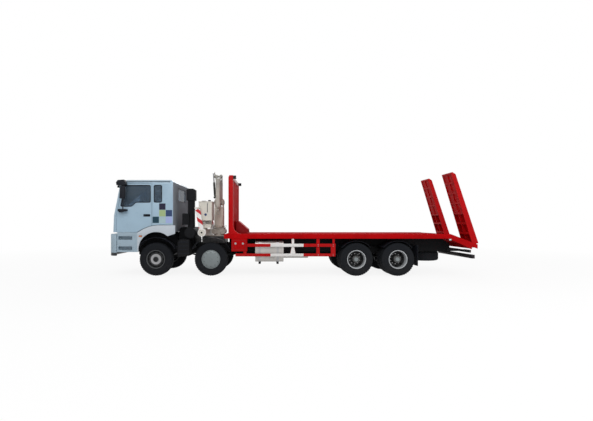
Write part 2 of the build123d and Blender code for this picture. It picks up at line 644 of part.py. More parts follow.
HINGE_X = DOOR_FRONT + 3
HINGE_Y = HALF_WIDTH + 2
HINGE_ZS = (DOOR_Z0 + 148.0, DOOR_Z0 + 468.0)
hinge_room = [bar_z(HINGE_X, HINGE_Y, z - 70, z + 70, HINGE_R + 6) for z in HINGE_ZS]
hinge_bars = [bar_z(HINGE_X, HINGE_Y, z - 60, z + 60, HINGE_R) for z in HINGE_ZS]

door_shell = (shell & door_body) - door_hole
door_left = joined(door_shell, hinge_bars)
LUG_Y0 = RAIL_Y - 6.0
LUG_Y1 = RAIL_Y + 22.0
lugs = pair(plate_y([(TILT_X - 60, CAB_Z0 + 5), (TILT_X + 24, CAB_Z0 + 5), (TILT_X + 24, TILT_Z - 24),
                     (TILT_X - 24, TILT_Z - 24)], LUG_Y0, LUG_Y1))
cab_shell = shell - pair(door_cut) - pair(quarter_hole) - screen_hole - rear_hole
cab_shell = cab_shell - pair(joined(hinge_room))
tilt_bores = pair(bar_y(TILT_X, LUG_Y0 - 40, LUG_Y1 + 20, TILT_Z, TILT_PIN_R + PIN_PLAY))
cab_shell = joined(cab_shell, lugs) - tilt_bores
save("cab_shell", cab_shell)
save("door_left", door_left)
save("door_right", mirrored(door_left))

# Glass panes follow the wall they sit in
PANE_DEPTH = 16.0
PANE_THICK = 8.0
pane_skin = cab_solid(PANE_DEPTH) - cab_solid(PANE_DEPTH + PANE_THICK)


def inner_line(points, gap):
    cx = sum(p[0] for p in points) / len(points)
    cz = sum(p[1] for p in points) / len(points)
    return [(x - math.copysign(gap, x - cx), z - math.copysign(gap, z - cz)) for x, z in points]


door_pane = pane_skin & plate_y(inner_line(DOOR_GLASS_LINE, GLASS_GAP), SIDE_Y0, SIDE_Y1, PANE_CORNER)
quarter_pane = pane_skin & plate_y(inner_line(QUARTER_LINE, GLASS_GAP), SIDE_Y0, SIDE_Y1, PANE_CORNER)
screen_pane = pane_skin & plate_x(inner_line(SCREEN_LINE, GLASS_GAP), SCREEN_X0, SCREEN_X1, SCREEN_CORNER)
rear_pane = pane_skin & plate_x(inner_line(REAR_LINE, GLASS_GAP), CAB_REAR - 50, CAB_REAR + 100, SCREEN_CORNER)
save("cab_glass", screen_pane, rear_pane, pair(quarter_pane))
save("door_glass_left", door_pane)
save("door_glass_right", mirrored(door_pane))

# Mirrors ride on the doors: a main head, a wide-angle cap above it and two brackets
MIRROR_X = DOOR_FRONT - 255.0
MIRROR_OUT = HALF_WIDTH + 205.0
MIRROR_IN = HALF_WIDTH + 85.0
MIRROR_TOP = DOOR_TOP - 85.0
MIRROR_LOW = WINDOW_DIP_Z + 245.0
mirror_main = plate_y([(MIRROR_X + 95, MIRROR_LOW), (MIRROR_X - 75, MIRROR_LOW), (MIRROR_X - 90, MIRROR_TOP),
                       (MIRROR_X + 70, MIRROR_TOP)], MIRROR_IN, MIRROR_OUT, 28)
mirror_cap = plate_y([(MIRROR_X + 190, MIRROR_TOP + 12), (MIRROR_X + 205, MIRROR_TOP + 105),
                      (MIRROR_X + 150, MIRROR_TOP + 180), (MIRROR_X - 50, MIRROR_TOP + 195),
                      (MIRROR_X - 115, MIRROR_TOP + 40), (MIRROR_X - 70, MIRROR_TOP + 12)],
                     HALF_WIDTH + 40, MIRROR_OUT - 10, 20)
mirror_post = bar_z(MIRROR_X, (MIRROR_IN + MIRROR_OUT) / 2, WINDOW_DIP_Z - 140, MIRROR_TOP + 60, 17)
arm_low = plate_y([(MIRROR_X + 175, WINDOW_DIP_Z - 120), (MIRROR_X + 150, WINDOW_DIP_Z - 85),
                   (MIRROR_X - 100, WINDOW_DIP_Z - 90), (MIRROR_X - 110, WINDOW_DIP_Z - 150),
                   (MIRROR_X + 120, WINDOW_DIP_Z - 195)], HALF_WIDTH - 4, MIRROR_IN + 80)
arm_top = block(MIRROR_X - 60, MIRROR_X + 20, HALF_WIDTH - 4, MIRROR_IN, MIRROR_TOP + 30, MIRROR_TOP + 70)
mirror_left = joined(mirror_main, mirror_cap, mirror_post, arm_low, arm_top) - door_left
save("mirror_left", mirror_left)
save("mirror_right", mirrored(mirror_left))

# Grille and sun visor
GRILLE_HALF = HALF_WIDTH - 465.0
GRILLE_Z0 = CAB_Z0 + 70.0
GRILLE_Z1 = CAB_KNEE_Z - 60.0
GRILLE_SLOT = 34.0
GRILLE_STEP = 70.0
VISOR_HALF = HALF_WIDTH - 155.0
grille = block(CAB_NOSE - 40, CAB_NOSE + 16, -GRILLE_HALF, GRILLE_HALF, GRILLE_Z0, GRILLE_Z1) - cab_solid(-SEAT)
slots = []
slot_z = GRILLE_Z0 + 40
while slot_z + GRILLE_SLOT < GRILLE_Z1 - 40:
    slots.append(block(CAB_NOSE - 5, CAB_NOSE + 40, -GRILLE_HALF + 40, GRILLE_HALF - 40, slot_z, slot_z + GRILLE_SLOT))
    slot_z += GRILLE_STEP
visor = plate_y([(CAB_BROW_X - 15, CAB_BROW_Z + 100), (CAB_BROW_X + 85, CAB_BROW_Z - 20),
                 (CAB_BROW_X + 100, CAB_BROW_Z - 8), (CAB_BROW_X - 40, CAB_BROW_Z + 192),
                 (CAB_BROW_X - 100, CAB_BROW_Z + 192)], -VISOR_HALF, VISOR_HALF)
visor_arms = []
for y in (-VISOR_HALF + 290, 0, VISOR_HALF - 290):
    visor_arms.append(block(CAB_BROW_X - 140, CAB_BROW_X, y - 20, y + 20, CAB_BROW_Z + 90, CAB_BROW_Z + 145))
visor = joined(visor, visor_arms) - cab_outer
save("cab_trim", grille - slots, visor)

# Seats, dash and steering wheel
FLOOR_Z = CAB_Z0 + CAB_WALL
SEAT_Y = HALF_WIDTH - 655.0
SEAT_X = DOOR_REAR + 15.0
DASH_HALF = HALF_WIDTH - 145.0
DASH_X = CAB_NOSE - 100.0
STEER_X = SEAT_X + 680.0
STEER_Z = FLOOR_Z + 545.0
STEER_TILT = -35.0
seats = []
for y in (SEAT_Y, -SEAT_Y):
    cushion = block(SEAT_X, SEAT_X + 500, y - 250, y + 250, FLOOR_Z + 85, FLOOR_Z + 375)
    back = plate_y([(SEAT_X + 40, FLOOR_Z + 365), (SEAT_X + 170, FLOOR_Z + 365), (SEAT_X + 70, FLOOR_Z + 1025),
                    (SEAT_X - 50, FLOOR_Z + 1025)], y - 240, y + 240, 40)
    head = plate_y([(SEAT_X - 35, FLOOR_Z + 1015), (SEAT_X + 55, FLOOR_Z + 1015), (SEAT_X + 30, FLOOR_Z + 1205),
                    (SEAT_X - 50, FLOOR_Z + 1205)], y - 140, y + 140, 25)
    foot = block(SEAT_X + 80, SEAT_X + 420, y - 180, y + 180, FLOOR_Z, FLOOR_Z + 95)
    seats.append(joined(cushion, back, head, foot))
dash = plate_y([(DASH_X, FLOOR_Z + 85), (DASH_X, FLOOR_Z + 475), (DASH_X - 320, FLOOR_Z + 505),
                (DASH_X - 420, FLOOR_Z + 425), (DASH_X - 340, FLOOR_Z + 85)], -DASH_HALF, DASH_HALF)
dash_foot = block(DASH_X - 300, DASH_X - 20, -200, 200, FLOOR_Z, FLOOR_Z + 95)
steer_place = Pos(STEER_X, SEAT_Y, STEER_Z) * Rot(0, STEER_TILT, 0)
wheel = steer_place * Torus(215, 17)
spokes = steer_place * Box(40, 430, 18)
column = Pos(STEER_X + 65, SEAT_Y, STEER_Z - 90) * Rot(0, STEER_TILT, 0) * Cylinder(28, 220)
save("cab_interior", seats, joined(dash, dash_foot, column, spokes, wheel))

# Lower front panels: bumper, step boxes and wheel arch flares
BUMPER_CORNER = 210.0
BUMPER_BACK = DOOR_FRONT + 5.0


def bumper_solid(inset):
    front = X_FRONT - inset
    half = HALF_WIDTH - inset
    corner = BUMPER_CORNER - inset
    bevel = corner * (1 - math.sqrt(0.5))
    edges = [
        Line((BUMPER_BACK, -half, 0), (front - corner, -half, 0)),
        ThreePointArc((front - corner, -half, 0), (front - bevel, -half + bevel, 0), (front, -half + corner, 0)),
        Line((front, -half + corner, 0), (front, half - corner, 0)),
        ThreePointArc((front, half - corner, 0), (front - bevel, half - bevel, 0), (front - corner, half, 0)),
        Line((front - corner, half, 0), (BUMPER_BACK, half, 0)),
        Line((BUMPER_BACK, half, 0), (BUMPER_BACK, -half, 0)),
    ]
    return Pos(0, 0, BUMPER_Z0) * extrude(make_face(edges), amount=BUMPER_Z1 - BUMPER_Z0, dir=(0, 0, 1))


HEAD_LAMP = rect(HALF_WIDTH - 525, HALF_WIDTH - 140, 900, 1110)
LAMP_CORNER = 40.0
bumper = bumper_solid(0) - bumper_solid(BUMPER_WALL)
lamp_room = plate_x(HEAD_LAMP, X_FRONT - 240, X_FRONT + 20, LAMP_CORNER)
air_slot = block(X_FRONT - 200, X_FRONT + 20, -HALF_WIDTH + 605, HALF_WIDTH - 605, 980, 1090)
low_slot = block(X_FRONT - 200, X_FRONT + 20, -HALF_WIDTH + 685, HALF_WIDTH - 685, 760, 850)
bumper = bumper - pair(lamp_room) - air_slot - low_slot

skin = extrude(make_face(fender_outline(0)), amount=CAB_WALL, dir=(0, 1, 0))
skin = Pos(0, FENDER_Y0, 0) * skin
arch = bar_y(ARCH_X, FENDER_Y0 - 40, HALF_WIDTH + 40, ARCH_Z, ARCH_R)
arch_low = block(ARCH_X - 760, ARCH_X + ARCH_R, FENDER_Y0 - 40, HALF_WIDTH + 40, 500, ARCH_Z)
skin = skin - arch - arch_low
step_box = block(STEP_X0, STEP_X1, STEP_Y0, FENDER_Y0 + 10, FENDER_Z0, BUMPER_Z1 - 8)
TREADS = ((850.0, 960.0), (1180.0, 1290.0))
treads = [block(STEP_X0 + 50, STEP_X1 - 38, STEP_Y0 + 70, HALF_WIDTH + 40, z0, z1) for z0, z1 in TREADS]
fender = joined(skin, step_box) - treads
save("front_lower_panels", bumper, pair(fender))

# Lamps: head lamps, side markers, work lamps and tail lamps
lamp_skin = bumper_solid(8) - bumper_solid(BUMPER_WALL - 4)
head_lamp = lamp_skin & plate_x(inner_line(HEAD_LAMP, GLASS_GAP), X_FRONT - 240, X_FRONT + 20, LAMP_CORNER)
TAIL_BAR_X = RAMP_X + 95
TAIL_BAR_Z0 = 760.0
TAIL_BAR_Z1 = 840.0
TAIL_BAR_HALF = BED_HALF - 70.0
tail_bar = block(TAIL_BAR_X, TAIL_BAR_X + 40, -TAIL_BAR_HALF, TAIL_BAR_HALF, TAIL_BAR_Z0, TAIL_BAR_Z1)
tail_arms = pair(block(TAIL_BAR_X + 30, RAIL_REAR + 80, RAIL_Y, RAIL_Y + 10, TAIL_BAR_Z0 - 5, TAIL_BAR_Z1 + 5))
tail_lamps = pair(block(TAIL_BAR_X - 35, TAIL_BAR_X, TAIL_BAR_HALF - 420, TAIL_BAR_HALF - 20,
                        TAIL_BAR_Z0 - 5, TAIL_BAR_Z1 + 5))
board_rear = BOARD_FRONT - BOARD_THICK
work_lamps = pair(block(board_rear - 95, board_rear, BED_HALF - 130, BED_HALF - 10, BOARD_TOP - 110, BOARD_TOP - 10))
markers = pair(block(SLOPE_X - 10, SLOPE_X + 70, BED_HALF, BED_HALF + 12, DECK_Z0 - 62, DECK_Z0 - 2))
save("lamps", pair(head_lamp), joined(tail_bar, tail_lamps, tail_arms), work_lamps, markers)

# Fuel tank on the left, air tanks on the right
fuel_tank = plate_x(rect(TANK_Y0, TANK_Y1, TANK_Z0, TANK_Z1), TANK_X0, TANK_X1, 120)
AIR_R = 135.0
AIR_Y = RAIL_Y + 190.0
AIR_X0 = TANK_X0 - 971.0
AIR_X1 = TANK_X0 - 71.0
air_tanks = [bar_x(AIR_X0, AIR_X1, -AIR_Y, z, AIR_R) for z in (560.0, 850.0)]
air_arms = [block(x - 20, x + 20, -AIR_Y, -RAIL_Y, 520, 900) for x in (AIR_X0 + 150, AIR_X1 - 150)]
save("tanks", fuel_tank, joined(air_tanks, air_arms))

# Mudguards and flaps
guards = []
FRONT_GUARD_R = 700.0
REAR_GUARD_R = 592.0
GUARD_SHEET = 9.0
GUARD_TUBE_R = 18.0
# axle position, guard radius, first and last angle, inner and outer edge
GUARDS = (
    (X_AXLE_1, FRONT_GUARD_R, 28.0, 150.0, KINGPIN_Y + 30.0, FRONT_WHEEL_Y + 157.0),
    (X_AXLE_2, FRONT_GUARD_R, 28.0, 152.0, KINGPIN_Y + 30.0, FRONT_WHEEL_Y + 157.0),
    (X_AXLE_3, REAR_GUARD_R, 40.0, 140.0, DUAL_INNER_Y - 153.0, HALF_WIDTH - 7.0),
    (X_AXLE_4, REAR_GUARD_R, 40.0, 140.0, DUAL_INNER_Y - 153.0, HALF_WIDTH - 7.0),
)
for x, r, a0, a1, y0, y1 in GUARDS:
    arc = ring_arc_y(x, HUB_Z, r, r + GUARD_SHEET, a0, a1, y0, y1)
    arms = []
    for a in (a0 + 4, a1 - 4):
        t = math.radians(a)
        arms.append(bar_y(x + (r + 4) * math.cos(t), RAIL_Y, y0 + 50, HUB_Z + (r + 4) * math.sin(t), GUARD_TUBE_R))
    guards += pair(joined(arc, arms))
FLAP_X = X_AXLE_4 - 635.0
flap = block(FLAP_X - 5, FLAP_X + 5, DUAL_INNER_Y - 143, HALF_WIDTH - 15, 330, 1000)
flap_arm = bar_y(FLAP_X, RAIL_Y, HALF_WIDTH - 45, 985, GUARD_TUBE_R)
guards += pair(joined(flap, flap_arm))
save("mudguards", guards)

# Spare wheel lying under the tail
SPARE_X = X_AXLE_4 - 1250.0
SPARE_Z = RAIL_Z0 - 161.0
spare = tyre_at(0, 0)
spare = joined(spare, rim_barrel(0, 0), turned_y([(271, -20), (271, 10), (0, 10), (0, -20)], 0, HUB_Z))
spare = Pos(SPARE_X, 0, SPARE_Z) * Rot(90, 0, 0) * Pos(0, 0, -HUB_Z) * spare
spare_hanger = bar_z(SPARE_X, 0, SPARE_Z + 5, RAIL_Z0 + 120, 30)
spare_bridge = block(SPARE_X - 60, SPARE_X + 60, -RAIL_Y + RAIL_WEB, RAIL_Y - RAIL_WEB, RAIL_Z0 + 110, RAIL_Z0 + 150)
save("spare_wheel", joined(spare, spare_hanger, spare_bridge))

# Side guards and rear underrun bar
BOX_X1 = BED_FRONT - 238.0
BOX_X0 = BOX_X1 - 503.0
BOX_Y0 = BED_HALF - 390.0
BOX_Y1 = BED_HALF - 10.0
BOX_Z0 = 805.0
GUARD_END = X_AXLE_3 + 684.0
GUARD_Y0 = HALF_WIDTH - 30.0
GUARD_Y1 = HALF_WIDTH
UPPER_BAR = (950.0, 1050.0)
LOWER_BAR = (640.0, 734.0)
END_POST = 150.0
# post centre, half width at the top and at the foot
POSTS = ((X_AXLE_2 - 2656.0, 42.0, 85.0), (X_AXLE_3 + 1242.0, 50.0, 55.0))
upper_bar = block(GUARD_END, BOX_X0, GUARD_Y0, GUARD_Y1, *UPPER_BAR)
lower_bar = block(GUARD_END, BOX_X0 + 374, GUARD_Y0, GUARD_Y1, *LOWER_BAR)
end_post = block(GUARD_END, GUARD_END + END_POST, GUARD_Y0, GUARD_Y1, LOWER_BAR[0], UPPER_BAR[1])
end_hanger = block(GUARD_END + 20, GUARD_END + 90, GUARD_Y0 - 40, GUARD_Y0, LOWER_BAR[0], DECK_Z0)
box_hanger = block(BOX_X0 + 20, BOX_X0 + 120, GUARD_Y0 - 20, GUARD_Y0, LOWER_BAR[0], BOX_Z0)
side_posts = []
for x, top_half, foot_half in POSTS:
    side_posts.append(plate_y([(x - foot_half, LOWER_BAR[0]), (x + foot_half, LOWER_BAR[0]),
                               (x + foot_half, LOWER_BAR[1]), (x + top_half, UPPER_BAR[0]), (x + top_half, DECK_Z0),
                               (x - top_half, DECK_Z0), (x - top_half, UPPER_BAR[0]),
                               (x - foot_half, LOWER_BAR[1])], GUARD_Y0 - 40, GUARD_Y0))
side_guard = joined(upper_bar, lower_bar, end_post, end_hanger, box_hanger, side_posts)
UNDERRUN_X = X_REAR + 160
UNDERRUN_HALF = BED_HALF - 40.0
UNDERRUN_Z0 = 570.0
UNDERRUN_Z1 = 690.0
under_bar = block(UNDERRUN_X - 50, UNDERRUN_X + 50, -UNDERRUN_HALF, UNDERRUN_HALF, UNDERRUN_Z0, UNDERRUN_Z1)
under_arms = pair(plate_y([(UNDERRUN_X - 30, UNDERRUN_Z0 + 30), (UNDERRUN_X + 50, UNDERRUN_Z0 + 30),
                           (RAIL_REAR + 200, RAIL_Z0 - 2), (RAIL_REAR + 200, RAIL_Z0), (RAIL_REAR, RAIL_Z0),
                           (UNDERRUN_X - 30, UNDERRUN_Z1)], RAIL_Y - 60, RAIL_Y - 20))
save("underrun_guards", pair(side_guard), joined(under_bar, under_arms))

# Bed deck with side rails, tail slope, hinge lugs and tool boxes
SLOPE_END = RAMP_X + 72.0
LOAD_FRONT = BOARD_FRONT - 707.0
TAIL_X = X_REAR + 38.0
TAIL_Z1 = SLOPE_END_Z + 8.0
TAIL_Z0 = 892.0
RAMP_Y1 = BED_HALF - TAIL_PLATE - MOVING_GAP
RAMP_Y0 = RAMP_Y1 - RAMP_WIDTH
RAIL_IN = BED_HALF - BED_RAIL_W


def deck_outline(front, top_drop, depth):
    return [(front, DECK_Z1 - top_drop), (SLOPE_X, DECK_Z1 - top_drop), (SLOPE_END, SLOPE_END_Z - top_drop),
            (SLOPE_END, SLOPE_END_Z - depth), (SLOPE_X + depth * 0.22, DECK_Z1 - depth), (front, DECK_Z1 - depth)]


bed_rails = pair(plate_y(deck_outline(BED_FRONT, 0, BED_RAIL_H), RAIL_IN, BED_HALF))
tail_plates = pair(plate_y([(SLOPE_X, DECK_Z1), (TAIL_X, TAIL_Z1), (TAIL_X, TAIL_Z0), (SLOPE_X + 90, DECK_Z0)],
                           BED_HALF - TAIL_PLATE, BED_HALF))
load_plate = plate_y(deck_outline(LOAD_FRONT, DECK_DROP, DECK_PLATE), -RAIL_IN, RAIL_IN)
front_plate = block(LOAD_FRONT, BED_FRONT, -RAIL_IN, RAIL_IN, DECK_Z1 - DECK_PLATE, DECK_Z1)
front_beam = block(BED_FRONT - 90, BED_FRONT, -BED_HALF, BED_HALF, DECK_Z0, DECK_Z1)
end_beam = block(SLOPE_END, SLOPE_END + 60, -BED_HALF, BED_HALF, TAIL_Z0 + 2, SLOPE_END_Z - 5)
LUG_W = 40.0
LUG_R = 42.0
LUG_YS = (RAMP_Y0 + 90.0, RAMP_Y1 - 130.0)
hinge_lugs = []
for y in LUG_YS:
    lug = joined(bar_y(RAMP_X, y, y + LUG_W, RAMP_Z, LUG_R),
                 block(RAMP_X, SLOPE_END + 20, y, y + LUG_W, RAMP_Z - LUG_R, RAMP_Z + 20))
    hinge_lugs += pair(lug)
    hinge_lugs += pair(bar_y(RAMP_X, y - 52, y + LUG_W + 52, RAMP_Z, RAMP_PIN_R))
tool_boxes = pair(block(BOX_X0, BOX_X1, BOX_Y0, BOX_Y1, BOX_Z0, DECK_Z0 + 5))
save("bed_deck", joined(bed_rails, tail_plates, load_plate, front_plate, front_beam, end_beam, hinge_lugs, tool_boxes))

# Bed bearers and cross beams on the chassis
BEARER_W = 80.0
BEAM_STEP = 620.0
bearers = pair(plate_y([(BED_FRONT - 90, RAIL_Z1), (BED_FRONT - 90, BEARER_Z1), (SLOPE_X + 40, BEARER_Z1),
                        (RAIL_REAR + 70, RAIL_Z1 + 40), (RAIL_REAR + 70, RAIL_Z1)], RAIL_Y - BEARER_W, RAIL_Y))
beams = []
beam_x = BED_FRONT - 300
while beam_x > SLOPE_X + 150:
    beams.append(block(beam_x - 40, beam_x + 40, -RAIL_IN, RAIL_IN, BEARER_Z1, DECK_Z1 - DECK_PLATE))
    beam_x -= BEAM_STEP
save("bed_subframe", bearers, beams)

# Headboard with gussets
POST_IN = BED_HALF - 110.0
GUSSET = 300.0
RIB_STEP = 280.0
bow = GUSSET * (1 - math.sqrt(0.5))
board_post = plate_y([(BOARD_FRONT, DECK_Z1), (BOARD_FRONT, BOARD_TOP - 60), (BOARD_FRONT - 30, BOARD_TOP),
                      (board_rear, BOARD_TOP), (board_rear, DECK_Z1)], POST_IN, BED_HALF)
gusset_face = make_face([
    Line((board_rear + 10, POST_IN, DECK_Z1), (board_rear + 10, POST_IN, DECK_Z1 + GUSSET)),
    Line((board_rear + 10, POST_IN, DECK_Z1 + GUSSET), (board_rear, POST_IN, DECK_Z1 + GUSSET)),
    ThreePointArc((board_rear, POST_IN, DECK_Z1 + GUSSET), (board_rear - bow, POST_IN, DECK_Z1 + bow),
                  (board_rear - GUSSET, POST_IN, DECK_Z1)),
    Line((board_rear - GUSSET, POST_IN, DECK_Z1), (board_rear + 10, POST_IN, DECK_Z1)),
])
gusset = extrude(gusset_face, amount=BED_HALF - POST_IN, dir=(0, 1, 0))
board_top = block(board_rear + 10, BOARD_FRONT - 20, -POST_IN, POST_IN, BOARD_TOP - 120, BOARD_TOP - 10)
board_panel = block(BOARD_FRONT - 90, BOARD_FRONT - 60, -POST_IN, POST_IN, DECK_Z1, BOARD_TOP - 120)
ribs = []
for i in range(-3, 4):
    ribs.append(block(BOARD_FRONT - 125, BOARD_FRONT - 90, i * RIB_STEP - 30, i * RIB_STEP + 30,
                      DECK_Z1, BOARD_TOP - 120))
save("headboard", pair(joined(board_post, gusset)), board_top, board_panel, ribs)

# Winch behind the headboard: bed, side plates, drum and a sloping cover
WINCH_FRONT = board_rear - 20.0
WINCH_REAR = WINCH_FRONT - 422.0
WINCH_TOP_X = WINCH_FRONT - 85.0
WINCH_Z0 = DECK_Z1 + 40.0
WINCH_Z1 = DECK_Z1 + 429.0
WINCH_LIP_Z = DECK_Z1 + 138.0
WINCH_HALF = 410.0
WINCH_SIDE = 30.0
WINCH_COVER = 12.0
winch_bed = block(WINCH_REAR - 20, WINCH_FRONT, -WINCH_HALF - 10, WINCH_HALF + 10, DECK_Z1, WINCH_Z0)
winch_side = plate_y([(WINCH_FRONT, WINCH_Z0 - 5), (WINCH_FRONT, WINCH_Z1), (WINCH_TOP_X, WINCH_Z1),
                      (WINCH_REAR, WINCH_LIP_Z), (WINCH_REAR, WINCH_Z0 - 5)], WINCH_HALF - WINCH_SIDE, WINCH_HALF)
winch_cover = plate_y([(WINCH_FRONT - 30, WINCH_Z1 - WINCH_COVER), (WINCH_FRONT - 30, WINCH_Z1),
                       (WINCH_TOP_X, WINCH_Z1), (WINCH_REAR, WINCH_LIP_Z),
                       (WINCH_REAR + WINCH_COVER, WINCH_LIP_Z - WINCH_COVER),
                       (WINCH_TOP_X + 5, WINCH_Z1 - WINCH_COVER)], -WINCH_HALF + 5, WINCH_HALF - 5)
winch_drum = bar_y(WINCH_FRONT - 150, -WINCH_HALF + 5, WINCH_HALF - 5, DECK_Z1 + 165, 110)
save("winch", joined(winch_bed, pair(winch_side), winch_cover, winch_drum))

# Ramps
RAMP_SIDE = 22.0


def ramp_flat():
    outline = [(-RAMP_ROOT, RAMP_TOP), (-RAMP_LENGTH, RAMP_TOP), (-RAMP_LENGTH, RAMP_TOP - 45),
               (-RAMP_LENGTH + 95, RAMP_TOP - RAMP_TIP_DEPTH), (-RAMP_ROOT, RAMP_TOP - RAMP_DEPTH)]
    middle = (RAMP_Y0 + RAMP_Y1) / 2
    cheeks = []
    for y0, y1 in ((RAMP_Y0, RAMP_Y0 + RAMP_SIDE), (middle - 12, middle + 12), (RAMP_Y1 - RAMP_SIDE, RAMP_Y1)):
        cheeks.append(plate_y(outline, y0, y1))
    rungs = []
    u = RAMP_ROOT + 12
    while u < RAMP_LENGTH - 60:
        rungs.append(block(-u - 50, -u + 10, RAMP_Y0 + 5, RAMP_Y1 - 5, RAMP_TOP - 60, RAMP_TOP))
        u += RAMP_RUNG_STEP
    tip = block(-RAMP_LENGTH, -RAMP_LENGTH + 60, RAMP_Y0 + 5, RAMP_Y1 - 5, RAMP_TOP - 40, RAMP_TOP)
    sheet = block(-RAMP_LENGTH + 100, -RAMP_ROOT, RAMP_Y0 + 5, RAMP_Y1 - 5, RAMP_TOP - 110, RAMP_TOP - 100)
    ears = []
    for y in LUG_YS:
        for y0, y1 in ((y - 50, y - MOVING_GAP), (y + LUG_W + MOVING_GAP, y + LUG_W + 50)):
            ears.append(bar_y(0, y0, y1, 0, LUG_R - 2))
            ears.append(block(-RAMP_ROOT - 30, 0, y0, y1, -LUG_R + 2, RAMP_TOP - 2))
    holes = [bar_y(0, y - 60, y + LUG_W + 60, 0, RAMP_PIN_R + PIN_PLAY) for y in LUG_YS]
    return joined(cheeks, rungs, tip, sheet, ears) - holes


ramp_left = Pos(RAMP_X, 0, RAMP_Z) * Rot(0, 90 + RAMP_LEAN, 0) * ramp_flat()
save("ramp_left", ramp_left)
save("ramp_right", mirrored(ramp_left))

# Crane base with the outrigger box, slewing gear and oil tank
PEDESTAL_Z1 = 1290.0
half_h = RIGGER_H / 2
inside = half_h - RIGGER_WALL
pedestal = plate_y([(CRANE_X - 260, RAIL_Z1), (RIGGER_X + 120, RAIL_Z1), (RIGGER_X + 120, PEDESTAL_Z1),
                    (CRANE_X - 190, PEDESTAL_Z1), (CRANE_X - 260, PEDESTAL_Z1 - 80)], -RAIL_Y - 70, RAIL_Y + 70)
slew_house = bar_z(CRANE_X, 0, PEDESTAL_Z1 - 10, SLEW_Z, SLEW_R)
slew_flange = bar_z(CRANE_X, 0, SLEW_Z - 34, SLEW_Z, SLEW_R + 45)
racks = [bar_y(CRANE_X + dx, -250, 250, PEDESTAL_Z1 + 140, 95) for dx in (-150, 150)]
rigger_box = block(RIGGER_X - half_h, RIGGER_X + half_h, -RIGGER_BOX_Y, RIGGER_BOX_Y,
                   RIGGER_Z - half_h, RIGGER_Z + half_h)
rigger_room = block(RIGGER_X - inside, RIGGER_X + inside, -RIGGER_BOX_Y - 5, RIGGER_BOX_Y + 5,
                    RIGGER_Z - inside, RIGGER_Z + inside)
saddle = block(RIGGER_X - 110, RIGGER_X + 110, -RAIL_Y - 50, RAIL_Y + 50, PEDESTAL_Z1 - 20, RIGGER_Z - half_h + 5)
OIL_Y0 = HALF_WIDTH - 625.0
OIL_Y1 = HALF_WIDTH - 95.0
OIL_Z0 = 1800.0
OIL_Z1 = 2400.0
oil_tank = block(OIL_X0, OIL_X1, OIL_Y0, OIL_Y1, OIL_Z0, OIL_Z1)
oil_tank = fillet(oil_tank.edges().filter_by(Axis.Z), 30)
oil_lid = block(OIL_X0 - 7, OIL_X1 + 7, OIL_Y0 - 7, OIL_Y1 + 7, OIL_Z1, OIL_Z1 + 25)
oil_legs = []
for y in (OIL_Y0 + 60, OIL_Y1 - 100):
    oil_legs.append(block(RIGGER_X - 90, RIGGER_X + 90, y - 25, y + 25, RIGGER_Z + half_h - 5, OIL_Z0 + 5))
slew_bore = bar_z(CRANE_X, 0, SLEW_Z - 160, SLEW_Z + 20, SPIGOT_R + PIN_PLAY)
base = joined(pedestal, slew_house, slew_flange, racks, rigger_box, saddle) - rigger_room - slew_bore
save("crane_base", joined(base, oil_tank, oil_lid, oil_legs))

# Outriggers: sliding beam, swinging leg and foot
LEG_PIN_R = 30.0
LEG_HUB_R = 130.0
LEG_MID = (LEG_Y0 + LEG_Y1) / 2
beam_half = inside - SLIDE_PLAY
boss_y0 = RIGGER_BOX_Y + 18
beam = joined(block(RIGGER_X - beam_half, RIGGER_X + beam_half, 30, boss_y0 + 10, RIGGER_Z - beam_half,
                    RIGGER_Z + beam_half),
              bar_y(RIGGER_X, boss_y0, LEG_Y0 - 6, RIGGER_Z, 105),
              bar_y(RIGGER_X, LEG_Y0 - 10, LEG_Y1 - 6, RIGGER_Z, LEG_PIN_R))


def leg_flat():
    hub = bar_y(0, LEG_Y0, LEG_Y1, 0, LEG_HUB_R)
    tube = block(-LEG_W / 2, LEG_W / 2, LEG_Y0, LEG_Y1, 0, LEG_LENGTH)
    bore = bar_z(0, LEG_MID, LEG_HUB_R, LEG_LENGTH + 20, LEG_PIN_R + PIN_PLAY)
    return joined(hub, tube) - bore - bar_y(0, LEG_Y0 - 10, LEG_Y1 + 10, 0, LEG_PIN_R + PIN_PLAY)


def foot_flat():
    rod = bar_z(0, LEG_MID, LEG_HUB_R + 20, FOOT_END - 25, LEG_PIN_R)
    pad = block(-95, 95, LEG_Y0, LEG_Y1, FOOT_END - 30, FOOT_END)
    return joined(rod, pad)


stow = Pos(RIGGER_X, 0, RIGGER_Z) * Rot(0, LEG_LEAN, 0)
for name, solid in (("beam", beam), ("leg", stow * leg_flat()), ("foot", stow * foot_flat())):
    save(f"outrigger_{name}_left", solid)
    save(f"outrigger_{name}_right", mirrored(solid))


def octagon(middle_y, half_x, half_y, cut, inset):
    hx = half_x - inset
    hy = half_y - inset
    c = cut - inset * (2 - math.sqrt(2))
    ring = [(-hx + c, -hy), (hx - c, -hy), (hx, -hy + c), (hx, hy - c), (hx - c, hy), (-hx + c, hy), (-hx, hy - c),
            (-hx, -hy + c)]
    return [(CRANE_X + x, middle_y + y) for x, y in ring]


def both_sides(near, far, make):
    spans = [(CRANE_X + near, CRANE_X + far), (CRANE_X - far, CRANE_X - near)]
    return [make(x0, x1) for x0, x1 in spans]


